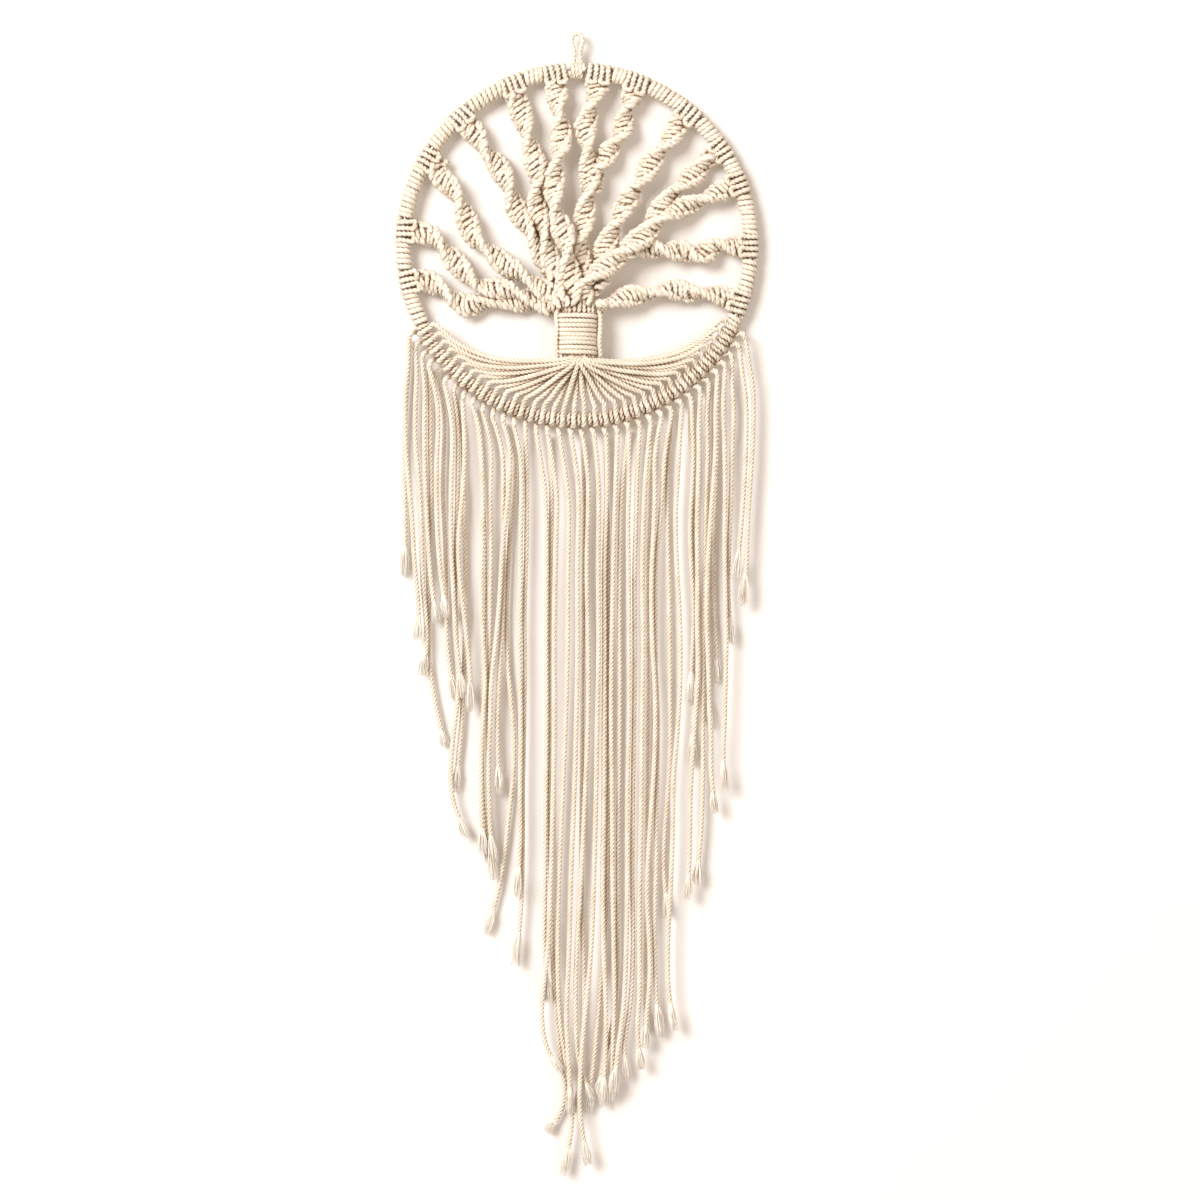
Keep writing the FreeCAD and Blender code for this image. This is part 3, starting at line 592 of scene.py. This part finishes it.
def new_material(name, roughness):
    """A material with its nodes, its links and its shader."""
    material = bpy.data.materials.new(name)
    material.use_nodes = True
    nodes = material.node_tree.nodes
    shader = nodes["Principled BSDF"]
    shader.inputs["Roughness"].default_value = roughness
    return material, nodes, material.node_tree.links, shader


# Painted shade: the brown that the cotton's colour reaches in the ply grooves and where cords crowd
# each other.
DEEP_SHADE = (0.32, 0.18, 0.085)
# The cream of the cotton's darker patches, and also the half-way colour of the painted shade.
DEEPER_CREAM = (0.85, 0.745, 0.60)
FIBRES = (26.0, 900.0, 1.0)     # the noise's scale round a cord, and in each metre along it
PATCHES = 90.0                  # the patches' scale in each metre
PATCH_SHARE = 0.45              # of the cream's variation, where the fibres make the rest
# GROOVE, SHADE_REACH and SHUT_AND_OPEN set where painted shade darkens the cotton: in the ply grooves
# and near other cords.
GROOVE = 0.26                   # from a groove to full light, where half a ply is 0.5
SHADE_REACH = 4.5 * MM          # a cord nearer than this shades the surface
SHUT_AND_OPEN = (0.33, 0.82)    # share of free directions that is dark, and that is light
SHADE_CREAM_LIGHT = (0.05, 0.30, 0.50)      # where the three colours lie on the ramp
FIBRE_HEIGHT = 0.25 * MM


def math_node(nodes, operation, second=1.0):
    """A math node with its second value set."""
    made = nodes.new("ShaderNodeMath")
    made.operation = operation
    made.inputs[1].default_value = second
    return made


def cotton(name, light, groove_shade, darkest_shade_between):
    """Unbleached cotton: fibres run along the plies, with soft patches of a deeper cream. Painted
    brown shade darkens the grooves between the three plies, and deep painted shade lies between the
    cords."""
    material, nodes, links, shader = new_material(name, 0.92)
    shader.inputs["Sheen Weight"].default_value = 0.2
    shader.inputs["Sheen Roughness"].default_value = 0.6
    shader.inputs["Specular IOR Level"].default_value = 0.2
    place = nodes.new("ShaderNodeTexCoord")
    stretch = nodes.new("ShaderNodeMapping")
    stretch.inputs["Scale"].default_value = FIBRES
    fibres = nodes.new("ShaderNodeTexNoise")
    fibres.inputs["Scale"].default_value = 1.0
    fibres.inputs["Detail"].default_value = 3.0
    patches = nodes.new("ShaderNodeTexNoise")
    patches.inputs["Scale"].default_value = PATCHES
    patches.inputs["Detail"].default_value = 2.0
    patch_share = math_node(nodes, "MULTIPLY", PATCH_SHARE)
    blend = math_node(nodes, "MULTIPLY_ADD", 1.0 - PATCH_SHARE)
    # Painted groove shade: darker where the UV's round coordinate falls in a groove between two plies.
    around = nodes.new("ShaderNodeSeparateXYZ")
    plies = math_node(nodes, "MULTIPLY", 3.0)
    from_groove = math_node(nodes, "PINGPONG", 0.5)
    depth = nodes.new("ShaderNodeMapRange")
    depth.interpolation_type = "SMOOTHSTEP"
    depth.inputs["From Max"].default_value = GROOVE
    depth.inputs["To Min"].default_value = 1.0 - groove_shade
    # Painted shade between cords: darker where an ambient occlusion node finds other cord close by.
    between = nodes.new("ShaderNodeAmbientOcclusion")
    between.samples = 4
    between.inputs["Distance"].default_value = SHADE_REACH
    open_share = nodes.new("ShaderNodeMapRange")
    open_share.inputs["From Min"].default_value = SHUT_AND_OPEN[0]
    open_share.inputs["From Max"].default_value = SHUT_AND_OPEN[1]
    open_share.inputs["To Min"].default_value = 1.0 - darkest_shade_between
    in_grooves = math_node(nodes, "MULTIPLY")
    shade = math_node(nodes, "MULTIPLY")
    # The ramp runs from the painted deep shade through the deeper cream to the light colour.
    ramp = nodes.new("ShaderNodeValToRGB")
    dark, cream = ramp.color_ramp.elements
    dark.position = SHADE_CREAM_LIGHT[0]
    dark.color = (*DEEP_SHADE, 1.0)
    cream.position = SHADE_CREAM_LIGHT[1]
    cream.color = (*DEEPER_CREAM, 1.0)
    ramp.color_ramp.elements.new(SHADE_CREAM_LIGHT[2]).color = (*light, 1.0)
    bump = nodes.new("ShaderNodeBump")
    bump.inputs["Strength"].default_value = 0.5
    bump.inputs["Distance"].default_value = FIBRE_HEIGHT
    links.new(place.outputs["UV"], stretch.inputs["Vector"])
    links.new(stretch.outputs["Vector"], fibres.inputs["Vector"])
    links.new(place.outputs["Object"], patches.inputs["Vector"])
    links.new(patches.outputs["Fac"], patch_share.inputs[0])
    links.new(fibres.outputs["Fac"], blend.inputs[0])
    links.new(patch_share.outputs[0], blend.inputs[2])
    links.new(place.outputs["UV"], around.inputs[0])
    links.new(around.outputs["X"], plies.inputs[0])
    links.new(plies.outputs[0], from_groove.inputs[0])
    links.new(from_groove.outputs[0], depth.inputs["Value"])
    links.new(blend.outputs[0], in_grooves.inputs[0])
    links.new(depth.outputs[0], in_grooves.inputs[1])
    links.new(between.outputs["AO"], open_share.inputs["Value"])
    links.new(in_grooves.outputs[0], shade.inputs[0])
    links.new(open_share.outputs[0], shade.inputs[1])
    links.new(shade.outputs[0], ramp.inputs["Fac"])
    links.new(ramp.outputs["Color"], shader.inputs["Base Color"])
    links.new(fibres.outputs["Fac"], bump.inputs["Height"])
    links.new(bump.outputs["Normal"], shader.inputs["Normal"])
    return material


def steel():
    """Bare wire of the hoop, finely scratched."""
    material, nodes, links, shader = new_material("hoop wire", 0.4)
    shader.inputs["Metallic"].default_value = 1.0
    shader.inputs["Base Color"].default_value = (0.55, 0.53, 0.50, 1.0)
    scratches = nodes.new("ShaderNodeTexNoise")
    scratches.inputs["Scale"].default_value = 400.0
    bump = nodes.new("ShaderNodeBump")
    bump.inputs["Strength"].default_value = 0.1
    bump.inputs["Distance"].default_value = 0.05 * MM
    links.new(scratches.outputs["Fac"], bump.inputs["Height"])
    links.new(bump.outputs["Normal"], shader.inputs["Normal"])
    return material


# Name, light colour, strength of the painted shade in the grooves and of the painted shade between
# cords.
COTTON = cotton("cotton cord", (0.93, 0.87, 0.77), 0.2, 1.0)
WOUND_COTTON = cotton("wound cotton", (0.93, 0.875, 0.78), 0.3, 0.65)
ROOT_COTTON = cotton("root cotton", (0.94, 0.885, 0.79), 0.55, 0.8)
FRINGE_COTTON = cotton("fringe cotton", (0.96, 0.91, 0.82), 0.7, 0.6)
# The frayed tips get no painted shade and a lighter cream, painted to make up for the shade their own
# hairs cast.
LIGHTENED_LOOSE_COTTON = cotton("loose cotton", (0.98, 0.945, 0.875), 0.0, 0.0)
WIRE = steel()


# ------------------------------------------------------------------ hoop

def wire_hoop():
    """The CAD hoop with its steel."""
    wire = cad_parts["hoop"]
    wire.data.materials.clear()
    wire.data.materials.append(WIRE)


def coil_on_hoop(start_deg, end_deg, radius, pitch, random):
    """Helix round the hoop between two angles, with turns that aren't quite alike."""
    length = math.radians(end_deg - start_deg) * HOOP_R
    turns = max(round(length / pitch), 1)
    count = turns * COIL_POINTS
    points = []
    uneven = smooth_noise(count + 1, COIL_POINTS // 2, random)
    for i in range(count + 1):
        share = i / count
        around = 2 * math.pi * turns * share
        slip = uneven[i] * 0.28 * MM
        thick = radius + 0.1 * MM * uneven[i]
        points.append(by_hoop(start_deg + (end_deg - start_deg) * share, slip,
                              thick * math.cos(around), -thick * math.sin(around)))
    return resample(points, RING_STEP)


def hoop_wrapping(random):
    """The covered stretches of the upper hoop, between the branches' knots."""
    knots = [(facts[0], KNOT_HALF_DEG) for facts in BRANCHES.values()]
    knots = sorted(knots + [(90.0, LOOP_BAND_DEG)])
    strands = Strands()
    start = -90.0 + WRAP_END_DEG
    for angle, half in knots + [(270.0 - WRAP_END_DEG, 0.0)]:
        end = angle - half
        if end - start > WRAP_LEAST_DEG:
            line = coil_on_hoop(start + WRAP_INSET_DEG, end - WRAP_INSET_DEG, WRAP_LINE_R,
                                WRAP_PITCH, random)
            strands.add_rope(line, KNOT_CORD_R, any_phase(random), TIGHT_SECTION)
        start = angle + half
    made = strands.piece("hoop_wrapping", WOUND_COTTON, "cotton_cord", "hoop_wrap")
    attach(made, "ring")


def larks_head(degrees, centre, random):
    """A folded cord tied on the hoop: its bar lies in front below the hoop, over its two legs.

    The points are those of one leg: along the hoop, outward from it and in depth."""
    gap = 2.15 * MM
    radius = 4.1 * MM + random.uniform(0.0, 0.35) * MM
    lean = random.normal(0.0, 0.5) * MM     # how far it is askew at the lean's depth
    lean_depth = 8.0 * MM
    half = [
        (0.45 * gap, -15.0 * MM, -0.4 * MM), (0.7 * gap, -10.8 * MM, 0.0),
        (0.95 * gap, -7.2 * MM, 0.2 * MM), (gap, -4.2 * MM, 3.0 * MM),
    ]
    for degrees_round in range(-10, 206, 24):     # from in front over the hoop to behind it
        angle = math.radians(degrees_round)
        half.append((gap, radius * math.sin(angle), radius * math.cos(angle)))
    half += [
        (1.12 * gap, -4.6 * MM, -4.0 * MM), (1.25 * gap, -6.6 * MM, -4.3 * MM),
        (0.7 * gap, -7.8 * MM, -4.4 * MM),
    ]
    points = [(-a, b, y) for a, b, y in half] + [(a, b, y) for a, b, y in half[::-1]]
    places = [by_hoop(degrees, centre + a + lean * b / lean_depth, b, y) for a, b, y in points]
    return smooth(shaken(places, 0.1 * MM, random), RING_STEP)


# ------------------------------------------------------------------ branches

def branch_line(name):
    """Middle line of a branch from its knot on the hoop to the trunk."""
    angle, _, _, line = BRANCHES[name]
    points = [on_ring(BRANCH_TOP_R, angle, -0.5 * MM)]
    points += [np.array(place) * MM for place in line]
    return smooth(points, 0.5 * MM, 24)


def add_sinnet(strands, line, first_waist, between, random):
    """Half knots tied one after another in the same way, which turns them about their core."""
    tangents, normals = transported_frames(line, [0.0, -1.0, 0.0])
    sides = np.cross(normals, tangents)
    step = np.linalg.norm(line[1] - line[0])
    reach = (len(line) - 1) * step

    def place(sideways, facing, along):
        """Point by the middle line, on the sinnet's side and face as turned at that length."""
        along = min(max(along, 0.0), reach)
        i = min(int(round(along / step)), len(line) - 1)
        turn = math.radians(90.0 + 180.0 * (along - first_waist) / between)
        across = math.cos(turn) * sides[i] + math.sin(turn) * normals[i]
        face = math.cos(turn) * normals[i] - math.sin(turn) * sides[i]
        return line[i] + sideways * across + facing * face

    rows = int(reach / ROW)
    widths = SINNET_HALF * np.clip(random.normal(1.0, 0.07, rows), 0.85, 1.15)
    slips = np.clip(random.normal(0.0, 0.13, rows), -0.25, 0.25)
    for cord in (0, 1):
        points = []
        for row in range(rows):
            sign = 1 if (row + cord) % 2 else -1
            for sideways, facing, along in HALF_KNOT:
                points.append(place(sign * sideways * widths[row], sign * facing * MM,
                                    (row + along + slips[row]) * ROW))
        path = smooth(shaken(points, 0.22 * MM, random), RING_STEP, 6)
        strands.add_rope(path, SINNET_CORD_R, any_phase(random), TIGHT_SECTION)
    for offset in (-CORE_CORD_X, CORE_CORD_X):
        points = [place(offset, 0.0, along) for along in np.arange(0.0, reach, 1.5 * MM)]
        strands.add_rope(smooth(points, 1.2 * MM, 3), SINNET_CORD_R, 0.0)


def branch(name, random):
    """A twisted sinnet with its knot on the hoop."""
    strands = Strands()
    angle, first_waist, between, _ = BRANCHES[name]
    add_sinnet(strands, branch_line(name), first_waist * MM, between * MM, random)
    for centre in (-FOLD_X, FOLD_X):
        strands.add_rope(larks_head(angle, centre, random), KNOT_CORD_R, any_phase(random))
    made = strands.piece("sinnet_" + name, COTTON, "cotton_cord", "branch_" + name)
    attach(made, "ring")


# ------------------------------------------------------------------ trunk and roots

def trunk_point(degrees, grow, z):
    """Point round the trunk, the given distance outside its core."""
    angle = math.radians(degrees)
    return np.array([TRUNK_X + (TRUNK_CORE[0] + grow) * math.sin(angle),
                     TRUNK_Y - (TRUNK_CORE[1] + grow) * math.cos(angle), z])


def trunk_cords(random):
    """The gathered cords, with a second layer inside."""
    strands = Strands()
    for i in range(TRUNK_CORDS):
        degrees = 360.0 * i / TRUNK_CORDS
        points = [trunk_point(degrees, grow * MM, z * MM) for grow, z in
                  ((-3.0, -186.0), (-2.0, -191.0), (-2.0, -200.0), (-2.0, -215.0),
                   (-2.2, -229.0), (-5.0, -236.0))]
        strands.add_rope(smooth(shaken(points, 0.3 * MM, random), 1.0 * MM), CORD_R,
                         any_phase(random))
    for i in range(INNER_TRUNK_CORDS):
        degrees = 360.0 * i / INNER_TRUNK_CORDS
        points = [trunk_point(degrees, -6.5 * MM, z * MM) for z in (-188.0, -205.0, -234.0)]
        strands.add_rope(smooth(points, 1.5 * MM), CORD_R, 0.0)
    made = strands.piece("trunk_cords", COTTON, "cotton_cord", "trunk_core")
    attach(made, "ring")


def trunk_binding(random):
    """The cord wound round the trunk, and one that runs down each side of it."""
    strands = Strands()
    height = WRAP_TOP_Z - WRAP_BOTTOM_Z - 2 * BINDING_CORD_R
    step_deg = 12
    count = BINDING_TURNS * 360 // step_deg
    uneven = smooth_noise(count + 1, 180 // step_deg, random)
    points = []
    for i in range(count + 1):
        angle = math.radians(170.0 + step_deg * i)
        points.append(np.array([
            BINDING_X + BINDING[0] * math.sin(angle), TRUNK_Y - BINDING[1] * math.cos(angle),
            WRAP_TOP_Z - BINDING_CORD_R - height * i / count + 0.3 * MM * uneven[i]]))
    strands.add_rope(resample(points, RING_STEP), BINDING_CORD_R)
    for x, radius in ((-14.4 * MM, 1.9 * MM), (16.0 * MM, 2.0 * MM)):
        points = [(x * 0.8, TRUNK_Y, -192.0 * MM), (x, TRUNK_Y - 2.0 * MM, -198.0 * MM),
                  (x + 0.4 * MM, TRUNK_Y - 4.0 * MM, -208.0 * MM),
                  (x - 0.3 * MM, TRUNK_Y - 4.0 * MM, -218.0 * MM),
                  (x + 0.3 * MM, TRUNK_Y - 2.0 * MM, -227.0 * MM), (x, TRUNK_Y, -232.0 * MM)]
        strands.add_rope(smooth(points, RING_STEP), radius)
    made = strands.piece("trunk_binding", WOUND_COTTON, "cotton_cord", "trunk_wrap")
    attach(made, "ring")


def hitch_path(number, row, random):
    """From the inside of the hoop, twice round it and out below, as a double half hitch."""
    degrees = hitch_degrees(number)
    apart = random.uniform(2.05, 2.3) * MM
    inner = random.uniform(3.4, 3.7) * MM
    over = random.uniform(5.6, 6.2) * MM
    slip = random.normal(0.0, 0.2) * MM
    way = [(slip - 0.9 * apart, -8.5 * MM, -6.8 * MM)]
    # It lies on the wire from 260 degrees on, and shifts along it until 460.
    for turn in range(60, 601, 36):
        share = min(max((turn - 130.0) / 330.0, 0.0), 1.0)
        radius = over + (inner - over) * min(max((turn - 130.0) / 130.0, 0.0), 1.0)
        angle = math.radians(turn)
        way.append((slip - 0.7 * apart + 1.7 * apart * share, -radius * math.cos(angle),
                    -radius * math.sin(angle)))
    way.append((slip + 0.7 * apart, 6.2 * MM, 3.8 * MM if row == REAR else 2.4 * MM))
    points = [by_hoop(degrees, *place) for place in way]
    end = on_ring(EXIT_R, degrees, row)
    points.append(end + np.array([0.35 * (points[-1][0] - end[0]), 0.0, 3.2 * MM]))
    points.append(end - np.array([0.0, 0.0, 0.8 * MM]))
    return points


def root_cords(random):
    """Each cord fans out from the trunk's foot, is hitched on the hoop and leads to its strand."""
    for number, (row, _) in enumerate(FRINGE):
        strands = Strands()
        share = 2.0 * number / (HITCHES - 1) - 1.0
        spread = math.radians(ROOTS_SPREAD_DEG * share)
        layer = ROOT_LAYERS[number % len(ROOT_LAYERS)] * MM
        foot = np.array([ROOTS_X * MM + 8.0 * MM * math.sin(spread), layer,
                         (ROOTS_FOOT_Z - 4.0 * math.cos(spread)) * MM])
        start = np.array([ROOTS_X * MM + 3.0 * MM * math.sin(spread), layer * 0.8,
                          ROOTS_START_Z * MM])
        hitch = hitch_path(number, row, random)
        points = [start, foot]
        # The outermost cords sag most, because they leave the trunk sideways.
        for along, sag in ((0.3, 8.5), (0.57, 12.5), (0.82, 9.0)):
            low = (0.6 + sag * abs(share) ** 3) * MM
            points.append(foot + (hitch[0] - foot) * along - np.array([0.0, 0.0, low]))
        line = smooth(shaken(points + hitch, 0.14 * MM, random), RING_STEP, 10)
        strands.add_rope(line, ROOT_CORD_R * MM, any_phase(random))
        nodes = ("root_cords", "hitch_knots") if number == 0 else ()
        made = strands.piece("root_%02d" % (number + 1), ROOT_COTTON, "cotton_cord", *nodes)
        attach(made, "ring")


# ------------------------------------------------------------------ hanging loop

def hanging_loop(random):
    """Cord over the nail, and the knot that ties it to the hoop."""
    strands = Strands()
    up = [(2.6, 0.4, -21.0), (2.3, -0.2, -17.0), (2.0, 0.3, -13.0), (2.5, 0.0, -9.0),
          (3.7, 0.0, -5.2), (LOOP_BEND_R, 0.0, NAIL_Z)]
    points = [np.array(place) * MM for place in up]
    for degrees in range(30, 151, 30):
        angle = math.radians(degrees)
        points.append(np.array([LOOP_BEND_R * math.cos(angle), 0.0,
                                NAIL_Z + LOOP_BEND_R * math.sin(angle)]) * MM)
    points += [np.array((-x, -y, z)) * MM for x, y, z in up[::-1]]
    strands.add_rope(smooth(points, 0.7 * MM), CORD_R)
    coil = []
    count = LOOP_KNOT_TURNS * COIL_POINTS
    for i in range(count + 1):
        angle = 2 * math.pi * i / COIL_POINTS + math.radians(100.0)
        coil.append(np.array([(-LOOP_KNOT_HALF + 2 * LOOP_KNOT_HALF * i / count) * MM,
                              -LOOP_COIL_R * MM * math.sin(angle),
                              -HANG_DROP + LOOP_COIL_R * MM * math.cos(angle)]))
    strands.add_rope(resample(shaken(coil, 0.05 * MM, random), RING_STEP), LOOP_KNOT_CORD_R * MM)
    made = strands.piece("loop_cord", WOUND_COTTON, "cotton_cord", "hanging_loop")
    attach(made, "loop")


# ------------------------------------------------------------------ fringe

def strand(name, hitch, row, route, node, random):
    """One free cord with its frayed tip, hanging below its hitch."""
    exit_point = on_ring(EXIT_R, hitch_degrees(hitch), row)
    points = [exit_point] + [np.array([x * MM, row, z * MM]) for x, z in route]
    line = nurbs_line(points)
    length = float(np.linalg.norm(np.diff(line, axis=0), axis=1).sum())
    tip_length = np.linalg.norm(points[-1] - points[-2])
    fine = resample(line, RING_STEP)
    step = length / (len(fine) - 1)
    rope_end = len(fine) - int(LOOSE_SHARE_OF_TIP * tip_length / step)
    strands = Strands()
    strands.add_rope(fine[:rope_end], CORD_R, any_phase(random))
    add_fray(strands, fine[rope_end - 1], line[-1], random)
    made = strands.piece(name, FRINGE_COTTON, "fringe_cord", node)
    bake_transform(made)


def fringe(random):
    """The front strands and the second cords behind them."""
    for curtain, (first, last) in CURTAINS.items():
        for number in range(first, last + 1):
            row, route = FRINGE[number - 1]
            strand("strand_%02d" % number, number - 1, row, route,
                   "fringe_%02d" % number, random)
    for name, (hitch, route) in REAR_STRANDS.items():
        curtain = name.rsplit("_rear_", 1)[0]
        strand("strand_" + name, hitch, REAR, route, curtain + "_rear",
               random)


# ------------------------------------------------------------------ room

WALL_Y = 10.0 * MM
CAMERA = (0.0163, -2.4, -0.4005)
SEEN_HEIGHT = 0.852       # at the hanging's distance from the camera


def wall():
    """Pale plaster behind the hanging. It is clear from behind and lets the room's light through,
    so that the back can be seen."""
    bpy.ops.mesh.primitive_plane_add(size=6.0, location=(0.0, WALL_Y, -0.4),
                                     rotation=(math.radians(90.0), 0.0, 0.0))
    made = bpy.context.object
    made.name = "wall"
    material, nodes, links, shader = new_material("plaster", 0.95)
    shader.inputs["Base Color"].default_value = (0.90, 0.885, 0.875, 1.0)
    clear = nodes.new("ShaderNodeBsdfTransparent")
    side = nodes.new("ShaderNodeNewGeometry")
    mix = nodes.new("ShaderNodeMixShader")
    output = nodes["Material Output"]
    links.new(side.outputs["Backfacing"], mix.inputs["Fac"])
    links.new(shader.outputs["BSDF"], mix.inputs[1])
    links.new(clear.outputs["BSDF"], mix.inputs[2])
    links.new(mix.outputs["Shader"], output.inputs["Surface"])
    made.data.materials.append(material)
    made.visible_diffuse = False
    made.visible_shadow = False
    made.visible_glossy = False


def area_light(name, place, aim, size, power, colour):
    """A round soft light, turned to the place it is aimed at."""
    light = bpy.data.lights.new(name, "AREA")
    light.shape = "DISK"
    light.size = size
    light.energy = power
    light.color = colour
    made = bpy.data.objects.new(name, light)
    bpy.context.scene.collection.objects.link(made)
    made.location = place
    direction = np.array(aim) - np.array(place)
    made.rotation_euler = Vector(direction.tolist()).to_track_quat("-Z", "Y").to_euler()


def lights():
    """A window on the left, a weak fill and the room's own light, with a pale background."""
    area_light("window", (-1.95, -3.3, 0.9), (0.0, 0.0, -0.45), 2.0, 154.0, (1.0, 0.985, 0.97))
    area_light("fill", (1.6, -2.4, -0.4), (0.0, 0.0, -0.4), 2.2, 12.0, (1.0, 0.94, 0.88))
    world = bpy.data.worlds.new("room")
    world.use_nodes = True
    nodes = world.node_tree.nodes
    background = nodes["Background"]
    background.inputs["Color"].default_value = (1.0, 0.86, 0.74, 1.0)
    background.inputs["Strength"].default_value = 0.6
    backdrop = nodes.new("ShaderNodeBackground")
    backdrop.inputs["Color"].default_value = (0.93, 0.92, 0.91, 1.0)
    path = nodes.new("ShaderNodeLightPath")
    mix = nodes.new("ShaderNodeMixShader")
    links = world.node_tree.links
    links.new(path.outputs["Is Camera Ray"], mix.inputs["Fac"])
    links.new(background.outputs[0], mix.inputs[1])
    links.new(backdrop.outputs[0], mix.inputs[2])
    links.new(mix.outputs[0], nodes["World Output"].inputs["Surface"])
    bpy.context.scene.world = world


def camera():
    """Straight on, framed as the object is seen from the middle of the room."""
    data = bpy.data.cameras.new("camera")
    data.sensor_width = 36.0
    data.lens = data.sensor_width * -CAMERA[1] / SEEN_HEIGHT
    made = bpy.data.objects.new("camera", data)
    bpy.context.scene.collection.objects.link(made)
    made.location = CAMERA
    made.rotation_euler = (math.radians(90.0), 0.0, 0.0)
    bpy.context.scene.camera = made


# ------------------------------------------------------------------ the scene

seeded = np.random.default_rng(20)
wire_hoop()
hoop_wrapping(seeded)
for branch_name in BRANCHES:
    branch(branch_name, seeded)
trunk_cords(seeded)
trunk_binding(seeded)
root_cords(seeded)
hanging_loop(seeded)
fringe(seeded)
wall()
lights()
camera()
bpy.context.scene.view_settings.view_transform = "Standard"
